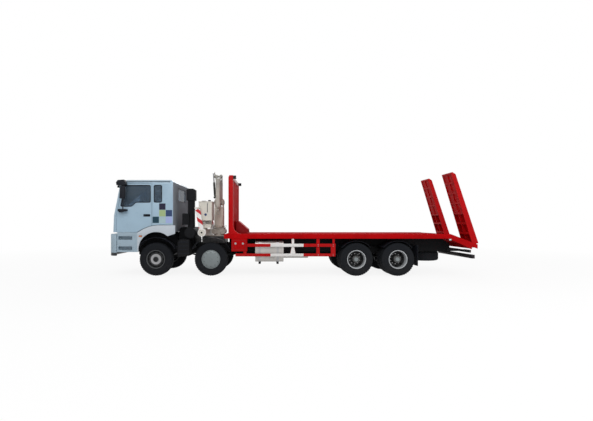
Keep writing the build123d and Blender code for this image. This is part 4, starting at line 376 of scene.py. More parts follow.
class Kit:
    """Gathers small solids into one piece."""

    def __init__(self):
        self.bm = bmesh.new()

    def take(self, part, mat, place=None):
        bmesh.ops.recalc_face_normals(part, faces=part.faces)
        if place is not None:
            bmesh.ops.transform(part, matrix=place, verts=part.verts)
        for face in part.faces:
            face.material_index = mat
        return self.absorb(part)

    def absorb(self, part):
        mesh = bpy.data.meshes.new("part")
        part.to_mesh(mesh)
        part.free()
        self.bm.from_mesh(mesh)
        bpy.data.meshes.remove(mesh)
        return self

    def plate(self, outline, plane, h0, h1, bevel=0.004, mat=0, place=None):
        part = bmesh.new()
        put = PLANES[plane]
        low = [part.verts.new(put(a, b, h0)) for a, b in outline]
        high = [part.verts.new(put(a, b, h1)) for a, b in outline]
        count = len(outline)
        part.faces.new(low)
        part.faces.new(list(reversed(high)))
        for i in range(count):
            part.faces.new((low[i], high[i], high[(i + 1) % count], low[(i + 1) % count]))
        if bevel:
            sharp = [e for e in part.edges if e.calc_face_angle(0.0) > SHARP]
            bmesh.ops.bevel(part, geom=sharp, offset=bevel, segments=2, profile=0.5, affect="EDGES",
                            clamp_overlap=True)
        return self.take(part, mat, place)

    def block(self, x0, x1, y0, y1, z0, z1, bevel=0.004, mat=0, place=None):
        return self.plate(rect(x0, x1, y0, y1), "z", z0, z1, bevel, mat, place)

    def band(self, outer, inner, plane, h0, h1, mat=0):
        """A frame between two outlines with the same number of points."""
        part = bmesh.new()
        put = PLANES[plane]
        rings = [[part.verts.new(put(a, b, h)) for a, b in line] for line, h in
                 ((outer, h0), (outer, h1), (inner, h1), (inner, h0))]
        count = len(outer)
        for k in range(4):
            for i in range(count):
                j = (i + 1) % count
                part.faces.new((rings[k][i], rings[k][j], rings[(k + 1) % 4][j], rings[(k + 1) % 4][i]))
        return self.take(part, mat)

    def lathe(self, profile, centre, axis="y", steps=32, mat=0, start=0.0, turn=None):
        """profile: (radius, height along the axis from the centre); ends at radius 0 are closed."""
        part = bmesh.new()
        rows = []
        for r, h in profile:
            row = []
            for i in range(steps if r > 0 else 1):
                t = start + 2 * math.pi * i / steps
                row.append(part.verts.new(PLANES[axis](r * math.cos(t), r * math.sin(t), h)))
            rows.append(row)
        for low, high in zip(rows, rows[1:]):
            for i in range(steps):
                j = (i + 1) % steps
                ring = [low[i % len(low)], low[j % len(low)], high[j % len(high)], high[i % len(high)]]
                unique = list(dict.fromkeys(ring))
                if len(unique) > 2:
                    part.faces.new(unique)
        bmesh.ops.remove_doubles(part, verts=part.verts, dist=1e-6)
        return self.take(part, mat, Matrix.Translation(centre) @ (turn or Matrix.Identity(4)))

    def tube(self, points, radius, sides=10, mat=0):
        """A bent bar through the points, with mitred corners."""
        part = bmesh.new()
        path = [Vector(p) for p in points]
        rows = []
        for i, here in enumerate(path):
            ahead = (path[min(i + 1, len(path) - 1)] - here).normalized()
            behind = (here - path[max(i - 1, 0)]).normalized()
            way = (ahead + behind).normalized()
            side = way.cross(Vector((0.31, 0.17, 0.93))).normalized()
            other = way.cross(side)
            rows.append([part.verts.new(here + radius * (side * math.cos(t) + other * math.sin(t)))
                         for t in (2 * math.pi * k / sides for k in range(sides))])
        for low, high in zip(rows, rows[1:]):
            for i in range(sides):
                part.faces.new((low[i], low[(i + 1) % sides], high[(i + 1) % sides], high[i]))
        part.faces.new(rows[0])
        part.faces.new(rows[-1])
        return self.take(part, mat)

    def nuts(self, centre, pitch, count, size, depth, axis="y", mat=0, out=1.0):
        """A ring of hexagon nuts with bolt ends."""
        for i in range(count):
            t = 2 * math.pi * (i + 0.5) / count
            spot = Vector(centre) + Vector(PLANES[axis](pitch * math.cos(t), pitch * math.sin(t), 0.0))
            self.lathe([(0.0, 0.0), (size, 0.0), (size, out * depth * 0.62),
                        (size * 0.62, out * depth * 0.66), (size * 0.55, out * depth), (0.0, out * depth)],
                       spot, axis, 6, mat, t)
        return self

    def both_sides(self):
        """Adds the mirror image across the middle plane."""
        copy = self.bm.copy()
        bmesh.ops.scale(copy, vec=(1.0, -1.0, 1.0), verts=copy.verts)
        bmesh.ops.reverse_faces(copy, faces=copy.faces)
        return self.absorb(copy)

    def make(self, name, mats, body, stands_for=(), smooth=35.0, flip=False):
        if flip:
            bmesh.ops.scale(self.bm, vec=(1.0, -1.0, 1.0), verts=self.bm.verts)
            bmesh.ops.reverse_faces(self.bm, faces=self.bm.faces)
        mesh = bpy.data.meshes.new(name)
        self.bm.to_mesh(mesh)
        self.bm.free()
        return settle(name, mesh, mats, body, stands_for, smooth)


def settle(name, mesh, mats, body, stands_for=(), smooth=35.0):
    """Shows a mesh as a piece that rides a body; smooth: the angle below which edges shade softly."""
    for mat in mats:
        mesh.materials.append(mat)
    mesh.polygons.foreach_set("use_smooth", [True] * len(mesh.polygons))
    mesh.set_sharp_from_angle(angle=math.radians(smooth))
    piece = bpy.data.objects.new(name, mesh)
    scene.collection.objects.link(piece)
    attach(piece, body)
    if stands_for:
        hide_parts(*stands_for)
    return piece


BODY_OF = {n: body for body, members in frame["record"]["behaviour"]["bodies"].items() for n in members}


def soften(node, width, segments=2):
    """A copy of a node with its sharp edges rounded, shown in the node's place."""
    source = nodes[node]
    bm = bmesh.new()
    bm.from_mesh(source.data)
    bmesh.ops.remove_doubles(bm, verts=bm.verts, dist=2e-5)
    bmesh.ops.dissolve_limit(bm, angle_limit=math.radians(0.6), verts=bm.verts, edges=bm.edges,
                             delimit={"NORMAL"})
    for face in bm.faces:
        face.material_index = 0
    mesh = bpy.data.meshes.new(node + "_raw")
    bm.to_mesh(mesh)
    bm.free()
    holder = bpy.data.objects.new(node + "_raw", mesh)
    scene.collection.objects.link(holder)
    bevel = holder.modifiers.new("edges", "BEVEL")
    bevel.width = width
    bevel.segments = segments
    bevel.limit_method = "ANGLE"
    bevel.angle_limit = math.radians(38.0)
    bevel.use_clamp_overlap = False
    bevel.miter_outer = "MITER_ARC"
    graph = bpy.context.evaluated_depsgraph_get()
    done = bpy.data.meshes.new_from_object(holder.evaluated_get(graph))
    bpy.data.objects.remove(holder)
    bpy.data.meshes.remove(mesh)
    for attribute in [a.name for a in done.attributes if a.name == "custom_normal"]:
        done.attributes.remove(done.attributes[attribute])
    done.materials.clear()
    return settle(node + "_skin", done, [look_of(node)], BODY_OF[node], (node,), 32.0)


SOFT_EDGES = (("cab_shell", 0.010), ("door_left", 0.006), ("door_right", 0.006),
              ("front_lower_panels", 0.014), ("bed_deck", 0.005), ("headboard", 0.008),
              ("winch", 0.006), ("crane_column", 0.010), ("underrun_guards", 0.006),
              ("mirror_left", 0.012), ("mirror_right", 0.012), ("powertrain", 0.012),
              ("outrigger_leg_left", 0.008), ("outrigger_leg_right", 0.008))
for node, width in SOFT_EDGES:
    soften(node, width)


# Tyres with tread and ribbed walls
# radius, distance from the tyre's middle, and the depth of the tread's cross grooves there
TYRE_LINE = (
    (0.2848, -0.1165, 0.0), (0.310, -0.1345, 0.0), (0.330, -0.1480, 0.0), (0.334, -0.1525, 0.0),
    (0.345, -0.1535, 0.0), (0.349, -0.1505, 0.0), (0.400, -0.1560, 0.0), (0.440, -0.1550, 0.0),
    (0.444, -0.1510, 0.0), (0.470, -0.1500, 0.0), (0.474, -0.1475, 0.0), (0.500, -0.1440, 0.010),
    (0.524, -0.1360, 0.014), (0.534, -0.1180, 0.014),
    (0.536, -0.0920, 0.012), (0.524, -0.0880, 0.0), (0.524, -0.0800, 0.0), (0.538, -0.0760, 0.006),
    (0.5395, -0.0280, 0.006), (0.526, -0.0240, 0.0), (0.526, -0.0160, 0.0), (0.5397, -0.0120, 0.004),
)
TYRE_STEPS = 132
LUG_STEP = 3


def tyre(kit, x, y):
    """A closed tyre about (x, y), its grooves set a step apart on the two halves."""
    line = list(TYRE_LINE) + [(r, -h, g) for r, h, g in reversed(TYRE_LINE)]
    part = bmesh.new()
    rows = []
    for i in range(TYRE_STEPS):
        t = 2 * math.pi * i / TYRE_STEPS
        row = []
        for r, h, groove in line:
            shift = 1 if h > 0 else 0
            reach = r - (groove if (i + shift) % LUG_STEP == 0 else 0.0)
            row.append(part.verts.new((x + reach * math.cos(t), y + h, HUB_Z + reach * math.sin(t))))
        rows.append(row)
    for i in range(TYRE_STEPS):
        a, b = rows[i], rows[(i + 1) % TYRE_STEPS]
        for k in range(len(line)):
            m = (k + 1) % len(line)
            part.faces.new((a[k], a[m], b[m], b[k]))
    kit.take(part, 0)


for axle, x in AXLES.items():
    for side, mark in ((1, "l"), (-1, "r")):
        kit = Kit()
        for y in ((FRONT_Y,) if axle in "12" else DUAL_YS):
            tyre(kit, x, side * y)
        kit.make(f"tread_{axle}{mark}", [RUBBER], f"wheel_{axle}{mark}", (f"tyre_{axle}{mark}",),
                 40.0)


# Wheels: hub caps, nuts and covers
NUT_RING = 0.1285
for side, mark in ((1, "l"), (-1, "r")):
    flip = side < 0
    kit = Kit()
    kit.lathe([(0.0, 0.060), (0.050, 0.058), (0.064, 0.046), (0.068, 0.0), (0.0, 0.0)],
              (X1, 1.1245, HUB_Z), steps=40)
    kit.lathe([(0.087, 0.0), (0.092, 0.010), (0.166, 0.012), (0.172, 0.0)],
              (X1, 1.1255, HUB_Z), steps=40, mat=1)
    kit.nuts((X1, 1.1365, HUB_Z), NUT_RING, 10, 0.0195, 0.032, mat=1)
    kit.lathe([(0.205, 0.0), (0.205, 0.006), (0.262, -0.028), (0.262, -0.034)],
              (X1, 1.098, HUB_Z), steps=40, mat=2)
    kit.make(f"hub_cap_1{mark}", [LAMP, STEEL, BLACK], f"wheel_1{mark}", flip=flip)

    kit = Kit()
    kit.lathe([(0.0, 0.020), (0.060, 0.0195), (0.066, 0.012), (0.190, 0.009), (0.258, 0.004),
               (0.270, -0.004), (0.274, -0.016), (0.262, -0.018), (0.0, -0.006)],
              (X2, 1.167, HUB_Z), steps=56)
    kit.nuts((X2, 1.1735, HUB_Z), 0.226, 10, 0.012, 0.010, mat=1)
    kit.make(f"wheel_cover_2{mark}", [COVER, LAMP], f"wheel_2{mark}", flip=flip)

    for axle in "34":
        kit = Kit()
        x = AXLES[axle]
        kit.lathe([(0.0, 0.010), (0.060, 0.009), (0.070, 0.0), (0.0, 0.0)], (x, 1.1745, HUB_Z), steps=36)
        kit.nuts((x, 1.1465, HUB_Z), 0.0945, 12, 0.0085, 0.016, mat=1)
        kit.nuts((x, 0.9310, HUB_Z), 0.1675, 10, 0.0180, 0.034, mat=1)
        kit.make(f"hub_cap_{axle}{mark}", [COVER, STEEL], f"wheel_{axle}{mark}", flip=flip)


# Cab: window seals, gutters, door handles and decals
DOOR_PANE = [(4.6145, 2.383), (5.0925, 2.383), (5.2175, 2.252), (5.5825, 2.252), (5.4505, 2.935),
             (4.6145, 2.935)]
QUARTER_PANE = rect(4.2505, 4.5045, 2.383, 2.935)
REAR_PANE = rect(-0.56, 0.56, 2.46, 2.90)
SEAL = 0.014
SEAL_YS = (SIDE_Y - 0.003, SIDE_Y + 0.004)
HANDLE_Z = 1.965


def seal(kit, outline, plane, h0, h1, radius=0.045):
    """A rubber frame over the edge of a pane."""
    outer = rounded(offset(outline, -SEAL * 0.6), radius + SEAL)
    inner = rounded(offset(outline, SEAL), radius)
    return kit.band(outer, inner, plane, h0, h1)


for side, mark in ((1, "left"), (-1, "right")):
    kit = Kit()
    seal(kit, DOOR_PANE, "y", *SEAL_YS)
    kit.plate(rounded(rect(4.625, 4.845, 1.925, 2.005), 0.02), "y", SIDE_Y - 0.002, SIDE_Y + 0.003, 0.001)
    kit.tube([(4.645, SIDE_Y + 0.002, HANDLE_Z), (4.660, SIDE_Y + 0.022, HANDLE_Z),
              (4.810, SIDE_Y + 0.022, HANDLE_Z), (4.825, SIDE_Y + 0.002, HANDLE_Z)], 0.010)
    kit.make(f"door_seal_{mark}", [PLASTIC], f"door_{mark}", flip=side < 0)

kit = Kit()
seal(kit, QUARTER_PANE, "y", *SEAL_YS)
kit.block(3.980, 5.400, SIDE_Y - 0.024, SIDE_Y - 0.006, 3.040, 3.060, 0.003)
kit.both_sides()
seal(kit, REAR_PANE, "x", 3.8785, 3.8855)
kit.make("cab_seals", [PLASTIC], "cab")

DECAL = 0.205
DECAL_STEP = DECAL + 0.008
# column towards the rear, row downwards, colour
PATTERN = ((1, 0, 5), (1, 1, 2), (2, 1, 1), (0, 2, 0), (1, 2, 3), (2, 2, 4))
kit = Kit()
for column, row, colour in PATTERN:
    x, z = 4.550 - column * DECAL_STEP, 2.350 - row * DECAL_STEP
    kit.plate(rect(x - DECAL, x, z - DECAL, z), "y", SIDE_Y - 0.001, SIDE_Y + 0.0012, 0.0005, colour)
kit.both_sides()
kit.make("cab_decals", DECALS, "cab")


def surface(node, start, way):
    """Point and outward direction where a ray meets a node."""
    _, point, normal, _ = nodes[node].ray_cast(Vector(start), Vector(way))
    return point, normal


def facing(point, normal):
    """Puts a piece built along +Z onto a surface."""
    return Matrix.Translation(point) @ normal.to_track_quat("Z", "Y").to_matrix().to_4x4()


# Lamps: reflectors and lenses of the head lamps, then the fenders, the tail, the sides and the work lamps
kit = Kit()
for y in (0.815, 1.000):
    point, normal = surface("lamps", (6.5, y, 1.005), (-1.0, 0.0, 0.0))
    turn = facing(point, normal)
    kit.lathe([(0.086, 0.0), (0.084, 0.006), (0.076, 0.007), (0.060, 0.002), (0.030, 0.0015),
               (0.0, 0.004), (0.0, -0.004), (0.086, -0.004)], (0, 0, 0), "z", 32, 0, turn=turn)
    kit.lathe([(0.030, 0.002), (0.026, 0.007), (0.0, 0.0085), (0.0, 0.0), (0.030, 0.0)],
              (0, 0, 0), "z", 24, 1, turn=turn)
kit.both_sides()
kit.make("head_lamp_bowls", [CHROME, CLEAR_LENS], "chassis")

kit = Kit()
kit.plate(rounded(rect(4.885, 4.995, 1.268, 1.322), 0.018), "y", SIDE_Y - 0.004, SIDE_Y + 0.006, 0.003)
kit.plate(rounded(rect(4.893, 4.987, 1.276, 1.314), 0.014), "y", SIDE_Y + 0.002, SIDE_Y + 0.014, 0.005, 1)
kit.both_sides()
kit.make("fender_lamps", [LAMP, AMBER_LENS], "chassis")

kit = Kit()
for y0, y1, mat in ((0.775, 0.905, 1), (0.912, 1.040, 0), (1.047, 1.150, 2)):
    kit.block(-5.760, -5.748, y0, y1, 0.764, 0.836, 0.005, mat)
kit.both_sides()
kit.make("tail_lenses", [RED_LENS, CLEAR_LENS, AMBER_LENS], "chassis")

kit = Kit()
kit.block(-5.066, -4.999, BED_Y + 0.008, BED_Y + 0.016, 1.160, 1.204, 0.004)
kit.both_sides()
kit.make("side_lenses", [CLEAR_LENS], "chassis")

kit = Kit()
kit.plate(rect(1.135, 1.225, 3.165, 3.235), "x", 1.856, 1.866, 0.004)
kit.both_sides()
kit.make("work_lamp_lenses", [CLEAR_LENS], "chassis")

# Wipers
kit = Kit()
for pivot in (-0.62, 0.12):
    kit.lathe([(0.0, 0.030), (0.018, 0.028), (0.024, 0.0)], (5.842, pivot, 1.985), "x", 16)
    kit.tube([(5.868, pivot, 1.985), (5.862, pivot + 0.12, 2.030), (5.850, pivot + 0.34, 2.075)], 0.009)
    kit.tube([(5.853, pivot + 0.02, 2.066), (5.851, pivot + 0.34, 2.072), (5.853, pivot + 0.66, 2.066)],
             0.011, 6)
kit.make("wipers", [PLASTIC], "cab")

# Mirror glasses
for side, mark in ((1, "left"), (-1, "right")):
    kit = Kit()
    kit.plate(rounded(rect(1.345, 1.435, 2.525, 2.875), 0.02), "x", 5.3560, 5.3795, 0.003, 1)
    kit.plate(rounded(rect(1.351, 1.429, 2.531, 2.869), 0.018), "x", 5.3548, 5.3570, 0.0008)
    kit.make(f"mirror_glass_{mark}", [CHROME, LAMP], f"door_{mark}", flip=side < 0)


# Cab interior: padded seats on their pedestals, dash and steering wheel
PAD_CUTS = 19
CHANNEL_DEPTH, CHANNEL_WIDTH = 0.012, 0.055


def cushion(name, half, place, crown, channels, pull=0.035, edge=0.042):
    """A crowned pad whose sides pull in, with sewn channels along its length."""
    bm = bmesh.new()
    bmesh.ops.create_cube(bm, size=2.0)
    bmesh.ops.subdivide_edges(bm, edges=bm.edges[:], cuts=PAD_CUTS, use_grid_fill=True)
    for vert in bm.verts:
        u = vert.co.copy()
        flat = Vector(u[i] * half[i] for i in range(3))
        core = Vector(max(edge - half[i], min(half[i] - edge, flat[i])) for i in range(3))
        way = flat - core
        p = core + way.normalized() * edge if way.length > 0 else core
        top = max(0.0, u.z)
        p.z += crown * top * (1 - u.x ** 2) * (1 - u.y ** 2)
        p.x *= 1 - pull * (1 - u.y ** 2) * abs(u.x)
        p.y *= 1 - pull * (1 - u.x ** 2) * abs(u.y)
        p.z -= CHANNEL_DEPTH * top * sum(math.exp(-((u.y - c) / CHANNEL_WIDTH) ** 2) for c in channels)
        vert.co = p
    bmesh.ops.transform(bm, matrix=place, verts=bm.verts)
    mesh = bpy.data.meshes.new(name)
    bm.to_mesh(mesh)
    bm.free()
    piece = settle(name, mesh, [CLOTH], "cab", ("cab_interior",), 70.0)


def lean(degrees):
    """A turn about the truck's crosswise axis."""
    return Matrix.Rotation(math.radians(degrees), 4, "Y")


SEAT_Y = 0.590
for side, mark in ((1, "left"), (-1, "right")):
    y = side * SEAT_Y
    cushion(f"seat_pad_{mark}", (0.245, 0.245, 0.075), Matrix.Translation((4.8425, y, 1.755)), 0.020,
            (-0.52, -0.17, 0.17, 0.52))
    cushion(f"seat_back_{mark}", (0.322, 0.235, 0.060), Matrix.Translation((4.648, y, 2.172)) @ lean(81.8),
            0.016, (-0.55, -0.18, 0.18, 0.55))
    cushion(f"seat_head_{mark}", (0.090, 0.135, 0.040), Matrix.Translation((4.592, y, 2.588)) @ lean(85.0),
            0.008, ())

kit = Kit()
for y in (SEAT_Y, -SEAT_Y):
    kit.block(4.640, 5.045, y - 0.190, y + 0.190, 1.475, 1.520, 0.008)
    for k in range(4):
        grow = 0.012 if k % 2 else 0.0
        kit.block(4.690 - grow, 4.995 + grow, y - 0.150 - grow, y + 0.150 + grow,
                  1.515 + 0.034 * k, 1.555 + 0.034 * k, 0.010, 1)
    kit.block(4.615, 5.070, y - 0.215, y + 0.215, 1.640, 1.686, 0.010)
DASH = [(5.7725, 1.56), (5.7725, 1.95), (5.4525, 1.98), (5.3525, 1.90), (5.4325, 1.56)]
kit.plate(rounded(DASH, 0.05), "y", -1.10, 1.10, 0.010)
kit.block(5.4725, 5.7525, -0.20, 0.20, 1.475, 1.575, 0.008)
BINNACLE = [(5.40, 1.955), (5.52, 1.965), (5.49, 2.035), (5.41, 2.035)]
kit.plate(rounded(BINNACLE, 0.02), "y", SEAT_Y - 0.20, SEAT_Y + 0.20, 0.006)
STEER_AT = Vector((5.2725, SEAT_Y, 2.020))
STEER_LEAN = lean(-35.0)
STEER_R, GRIP_R, GRIP_STEPS = 0.215, 0.017, 12
turns = [2 * math.pi * k / GRIP_STEPS for k in range(GRIP_STEPS + 1)]
ring = [(STEER_R + GRIP_R * math.cos(t), GRIP_R * math.sin(t)) for t in turns]
kit.lathe(ring, STEER_AT, "z", 40, 1, turn=STEER_LEAN)
kit.lathe([(0.0, 0.020), (0.050, 0.018), (0.064, 0.0), (0.058, -0.022), (0.0, -0.026)],
          STEER_AT, "z", 24, 1, turn=STEER_LEAN)
for turn_by in (90.0, 210.0, 330.0):
    spoke = Matrix.Translation(STEER_AT) @ STEER_LEAN @ Matrix.Rotation(math.radians(turn_by), 4, "Z")
    kit.block(0.050, 0.206, -0.018, 0.018, -0.012, 0.010, 0.005, 1, spoke)
kit.tube([STEER_AT, STEER_AT + Vector((0.085, 0.0, -0.120)), STEER_AT + Vector((0.150, 0.0, -0.215))],
         0.030, 14)
kit.make("dash_and_wheel", [INTERIOR, PLASTIC], "cab", ("cab_interior",))

# Behind the cab: the intake box and the engine's rear cover
kit = Kit()
kit.block(3.420, 3.640, 0.640, 1.030, 1.660, 2.030, 0.018)
for k in range(4):
    kit.block(3.636, 3.648, 0.680, 0.990, 1.720 + 0.070 * k, 1.750 + 0.070 * k, 0.004)
kit.make("intake_box", [BLACK], "chassis")

kit = Kit()
REAR_COVER = [(3.300, 0.980), (3.860, 0.980), (3.860, 1.500), (3.780, 1.580), (3.380, 1.580), (3.300, 1.480)]
kit.plate(rounded(REAR_COVER, 0.04), "y", -0.520, 0.520, 0.020)
for k in range(5):
    kit.block(3.340 + 0.100 * k, 3.380 + 0.100 * k, -0.527, 0.527, 1.080, 1.420, 0.004)
kit.make("engine_rear_cover", [BLACK], "chassis")

# Engine side shields in the front wheel arches, and the bumper's grilles
kit = Kit()
SHIELD = [(3.960, 0.980), (5.300, 0.980), (5.300, 1.300), (5.220, 1.392), (3.960, 1.392)]
kit.plate(rounded(SHIELD, 0.03), "y", 0.498, 0.512, 0.003)
for k in range(6):
    kit.block(4.080 + 0.200 * k, 4.130 + 0.200 * k, 0.508, 0.520, 1.030, 1.330, 0.004)
kit.both_sides()
kit.make("engine_shields", [BLACK], "chassis")

kit = Kit()
kit.block(5.866, 5.876, -0.660, 0.660, 0.710, 1.060, 0.003)
for k in range(7):
    z = 0.735 + 0.048 * k
    kit.block(5.874, 5.892, -0.650, 0.650, z, z + 0.016, 0.004)
kit.make("bumper_grille", [PLASTIC], "chassis")

# Battery box: ribs and a pull handle
kit = Kit()
for k in range(4):
    kit.block(3.420, 3.740, 1.148, 1.160, 0.720 + 0.120 * k, 0.744 + 0.120 * k, 0.004)
kit.tube([(3.520, 1.148, 1.120), (3.520, 1.172, 1.120), (3.640, 1.172, 1.120), (3.640, 1.148, 1.120)],
         0.008)
kit.both_sides()
kit.make("battery_ribs", [PLASTIC], "chassis")

# Fuel tank straps, tool-box locks and guard bolts
kit = Kit()
TANK = rect(0.482, 1.150, 0.455, 1.130)
for x in (1.1065, 0.5155):
    kit.band(rounded(offset(TANK, -0.005), 0.120, 8), rounded(offset(TANK, 0.012), 0.105, 8),
             "x", x - 0.035, x + 0.035)
    kit.block(x - 0.020, x + 0.020, 1.145, 1.172, 0.940, 1.010, 0.006)
    kit.nuts((x, 1.172, 0.975), 0.0, 1, 0.010, 0.014)
kit.make("tank_straps", [STEEL], "chassis")

kit = Kit()
for x in (1.640, 1.880):
    kit.lathe([(0.0, 0.014), (0.014, 0.014), (0.020, 0.008), (0.032, 0.006), (0.036, 0.0)],
              (x, 1.239, 1.055), steps=20)
kit.band(rounded(rect(1.545, 1.972, 0.850, 1.165), 0.02), rounded(rect(1.556, 1.961, 0.861, 1.154), 0.016),
         "y", 1.237, 1.243, 1)
kit.both_sides()
kit.make("tool_box_locks", [STEEL, DEEP_RED], "chassis")

kit = Kit()
GUARD_ZS = (0.687, 1.000)
for x in (0.0265, -0.7855):
    for z in GUARD_ZS:
        kit.nuts((x, 1.244, z), 0.022, 2, 0.010, 0.012)
for z in GUARD_ZS:
    kit.nuts((-1.2685, 1.244, z), 0.026, 2, 0.010, 0.012)
kit.both_sides()
kit.make("guard_bolts", [STEEL], "chassis")

# Crane: pin caps and slewing ring bolts
kit = Kit()
for side in (1, -1):
    place = Vector((CRANE_X + side * 0.170, 0.0, 2.450))
    kit.lathe([(0.0, side * 0.012), (0.040, side * 0.011), (0.056, side * 0.004), (0.058, 0.0)],
              place, "x", 24)
    kit.nuts(place, 0.080, 6, 0.009, 0.010, "x", 0, side)
    foot = Vector((CRANE_X + side * 0.075, -0.255, 1.700))
    kit.lathe([(0.0, side * 0.010), (0.022, side * 0.010), (0.030, side * 0.003), (0.030, 0.0)],
              foot, "x", 20)
kit.nuts((CRANE_X, 0.0, 1.604), 0.246, 16, 0.012, 0.018, "z")
kit.make("column_pins", [LAMP], "crane_column")

kit = Kit()
for side in (1, -1):
    eye = Vector((CRANE_X + side * 0.061, -0.190, 2.900))
    kit.lathe([(0.0, side * 0.012), (0.020, side * 0.012), (0.028, side * 0.004), (0.028, 0.0)],
              eye, "x", 20)
kit.lathe([(0.0, 0.010), (0.022, 0.010), (0.030, 0.003), (0.030, 0.0)],
          (CRANE_X + 0.220, -0.172, 2.640), "x", 20)
kit.make("boom_pins", [LAMP], "crane_boom")

kit = Kit()
for side, face in ((-1, CRANE_X - 0.126), (1, CRANE_X + 0.141)):
    kit.lathe([(0.0, side * 0.012), (0.030, side * 0.011), (0.040, side * 0.003), (0.040, 0.0)],
              (face, 0.180, 3.345), "x", 24)
kit.make("elbow_caps", [LAMP], "crane_jib")

# Oil tank: filler cap, filter, level gauge, blue disc, lid seal and bracket
TANK_FACE, LID_Z, GAUGE_X = 1.150, 2.424, 2.796
kit = Kit()
kit.lathe([(0.0, 0.052), (0.040, 0.050), (0.046, 0.040), (0.046, 0.012), (0.060, 0.008), (0.062, 0.0)],
          (2.760, 0.950, LID_Z), "z", 24, 1)
kit.lathe([(0.0, 0.030), (0.070, 0.028), (0.078, 0.018), (0.078, 0.0)], (2.955, 0.860, LID_Z), "z", 28, 1)
kit.nuts((2.955, 0.860, 2.450), 0.058, 6, 0.008, 0.010, "z", 2)
kit.block(GAUGE_X - 0.010, GAUGE_X + 0.010, TANK_FACE, TANK_FACE + 0.016, 2.050, 2.370, 0.004, 2)
kit.tube([(GAUGE_X, TANK_FACE + 0.014, 2.070), (GAUGE_X, TANK_FACE + 0.020, 2.085),
          (GAUGE_X, TANK_FACE + 0.020, 2.335), (GAUGE_X, TANK_FACE + 0.014, 2.350)], 0.007, 10, 1)
kit.lathe([(0.0, 0.010), (0.030, 0.009), (0.040, 0.003), (0.042, 0.0)],
          (2.858, TANK_FACE, 1.990), "y", 28, 3)
kit.block(2.647, 3.088, 0.614, 1.156, 2.397, 2.408, 0.003, 1)
kit.block(2.700, 2.980, 0.700, 0.940, 1.640, 1.806, 0.010, 0)
kit.make("oil_tank_fittings", [CREAM, LAMP, STEEL, DECALS[1]], "chassis")

# Control valves with their levers, under the oil tank
kit = Kit()
kit.block(2.690, 2.950, 0.960, 1.110, 1.560, 1.640, 0.008)
for k in range(6):
    x = 2.712 + 0.043 * k
    kit.block(x - 0.017, x + 0.017, 0.975, 1.095, 1.636, 1.690, 0.006)
    kit.tube([(x, 1.080, 1.680), (x, 1.120, 1.715), (x, 1.128, 1.775)], 0.006, 8, 1)
    kit.lathe([(0.0, 0.026), (0.011, 0.022), (0.014, 0.010), (0.008, 0.0), (0.0, 0.0)],
              (x, 1.128, 1.768), "z", 14, 2)
kit.make("control_valves", [CREAM, STEEL, LAMP], "chassis")

# Outrigger hubs
for side, mark in ((1, "left"), (-1, "right")):
    kit = Kit()
    kit.lathe([(0.0, 0.020), (0.046, 0.019), (0.056, 0.010), (0.100, 0.007), (0.108, 0.0)],
              (RIGGER_X, 1.273, RIGGER_Z), steps=36)
    kit.nuts((RIGGER_X, 1.281, RIGGER_Z), 0.080, 8, 0.009, 0.010, mat=1)
    kit.lathe([(0.0, 0.008), (0.024, 0.007), (0.030, 0.0)], (RIGGER_X, 1.292, RIGGER_Z), steps=24, mat=2)
    kit.make(f"rigger_hub_{mark}", [CREAM, STEEL, LAMP], f"outrigger_leg_{mark}",
             flip=side < 0)

# Plates that close the upper bays of the ramps
RAMP_TURN = Matrix.Translation((-5.8125, 0.0, 0.962)) @ lean(106.6)
for side, mark in ((1, "left"), (-1, "right")):
    kit = Kit()
    for y0, y1 in ((0.575, 0.878), (0.896, 1.199)):
        kit.block(-2.445, -1.080, y0, y1, -0.016, -0.006, 0.002, 0, RAMP_TURN)
        for k in range(4):
            u = 1.275 + 0.345 * k
            kit.block(-u - 0.010, -u + 0.010, y0 + 0.040, y1 - 0.040, -0.008, 0.002, 0.003, 0, RAMP_TURN)
    kit.make(f"ramp_plates_{mark}", [RED], f"ramp_{mark}", flip=side < 0)


# Floor, light and camera
GLOW_FADE = (7.0, 20.0)  # distances from the middle between which the glow goes from near to far


def white_to_camera(tree, dull, near, far=None):
    """Mixes a white glow over a shader for what the camera, mirrors and panes see.

    near: its share at the object; far: its share well away from it."""
    new, link = tree.nodes.new, tree.links.new
    rays = new("ShaderNodeLightPath")
    total = rays.outputs["Is Camera Ray"]
    for name in ("Is Glossy Ray", "Is Transmission Ray"):
        add = new("ShaderNodeMath")
        add.operation = "ADD"
        add.use_clamp = True
        link(total, add.inputs[0])
        link(rays.outputs[name], add.inputs[1])
        total = add.outputs[0]
    scale = new("ShaderNodeMath")
    scale.operation = "MULTIPLY"
    scale.inputs[1].default_value = near
    if far is not None:
        coord = new("ShaderNodeTexCoord")
        distance = new("ShaderNodeVectorMath")
        distance.operation = "LENGTH"
        link(coord.outputs["Object"], distance.inputs[0])
        fade = new("ShaderNodeMapRange")
        for key, value in zip(("From Min", "From Max", "To Min", "To Max"), (*GLOW_FADE, near, far)):
            fade.inputs[key].default_value = value
        link(distance.outputs["Value"], fade.inputs["Value"])
        link(fade.outputs["Result"], scale.inputs[1])
    link(total, scale.inputs[0])
    glow = new("ShaderNodeEmission")
    glow.inputs["Color"].default_value = (1.0, 1.0, 1.0, 1.0)
    glow.inputs["Strength"].default_value = 1.0
    both = new("ShaderNodeMixShader")
    link(scale.outputs[0], both.inputs["Fac"])
    link(dull, both.inputs[1])
    link(glow.outputs["Emission"], both.inputs[2])
    return both.outputs["Shader"]


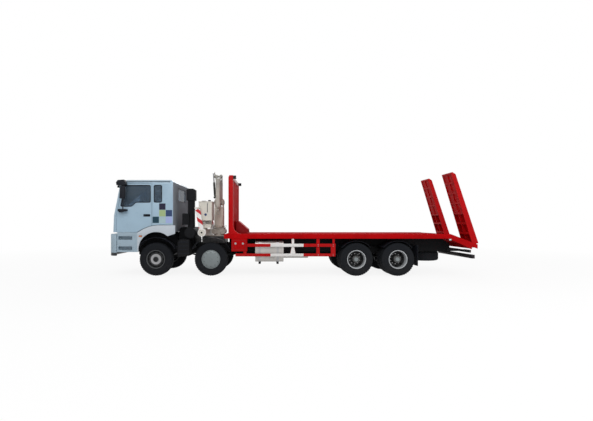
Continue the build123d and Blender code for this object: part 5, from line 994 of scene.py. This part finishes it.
SPAN = 400.0
FLOOR_GLOW = 0.88
SKY_STRENGTH = 0.48
floor_mesh = bpy.data.meshes.new("floor")
floor_mesh.from_pydata([(a, b, 0) for a, b in rect(-SPAN, SPAN, -SPAN, SPAN)], [], [(0, 1, 2, 3)])
floor = bpy.data.objects.new("floor", floor_mesh)
scene.collection.objects.link(floor)
floor_mat = bpy.data.materials.new("floor")
floor_mat.use_nodes = True
floor_tree = floor_mat.node_tree
floor_tree.nodes.remove(floor_tree.nodes["Principled BSDF"])
matte = floor_tree.nodes.new("ShaderNodeBsdfDiffuse")
matte.inputs["Color"].default_value = (0.90, 0.90, 0.90, 1.0)
floor_tree.links.new(white_to_camera(floor_tree, matte.outputs["BSDF"], FLOOR_GLOW, 1.0),
                     floor_tree.nodes["Material Output"].inputs["Surface"])
floor_mesh.materials.append(floor_mat)

world = bpy.data.worlds.new("studio")
scene.world = world
world.use_nodes = True
sky = world.node_tree.nodes["Background"]
sky.inputs["Color"].default_value = (1.0, 1.0, 1.0, 1.0)
sky.inputs["Strength"].default_value = SKY_STRENGTH
world.node_tree.links.new(white_to_camera(world.node_tree, sky.outputs["Background"], 1.0),
                          world.node_tree.nodes["World Output"].inputs["Surface"])


def area_light(name, place, aim, size, power):
    data = bpy.data.lights.new(name, "AREA")
    data.shape = "RECTANGLE"
    data.size, data.size_y = size
    data.energy = power
    lamp = bpy.data.objects.new(name, data)
    scene.collection.objects.link(lamp)
    lamp.location = place
    lamp.rotation_euler = (Vector(aim) - Vector(place)).to_track_quat("-Z", "Y").to_euler()


area_light("key", (3.0, 14.0, 12.0), (0.0, 0.0, 1.0), (14.0, 8.0), 1250.0)
area_light("fill", (-9.0, 9.0, 6.0), (0.0, 0.0, 1.2), (8.0, 6.0), 340.0)
area_light("back", (0.0, -12.0, 9.0), (0.0, 0.0, 1.2), (14.0, 6.0), 600.0)

cam_data = bpy.data.cameras.new("camera")
cam_data.lens = 23.0
cam_data.sensor_width = 36.0
cam_data.shift_x = 0.048
cam_data.shift_y = 0.021
camera = bpy.data.objects.new("camera", cam_data)
scene.collection.objects.link(camera)
camera.location = (0.83, 13.45, 1.72)
camera.rotation_euler = (math.radians(90.0), 0.0, math.radians(180.0))
scene.camera = camera
scene.view_settings.view_transform = "Standard"
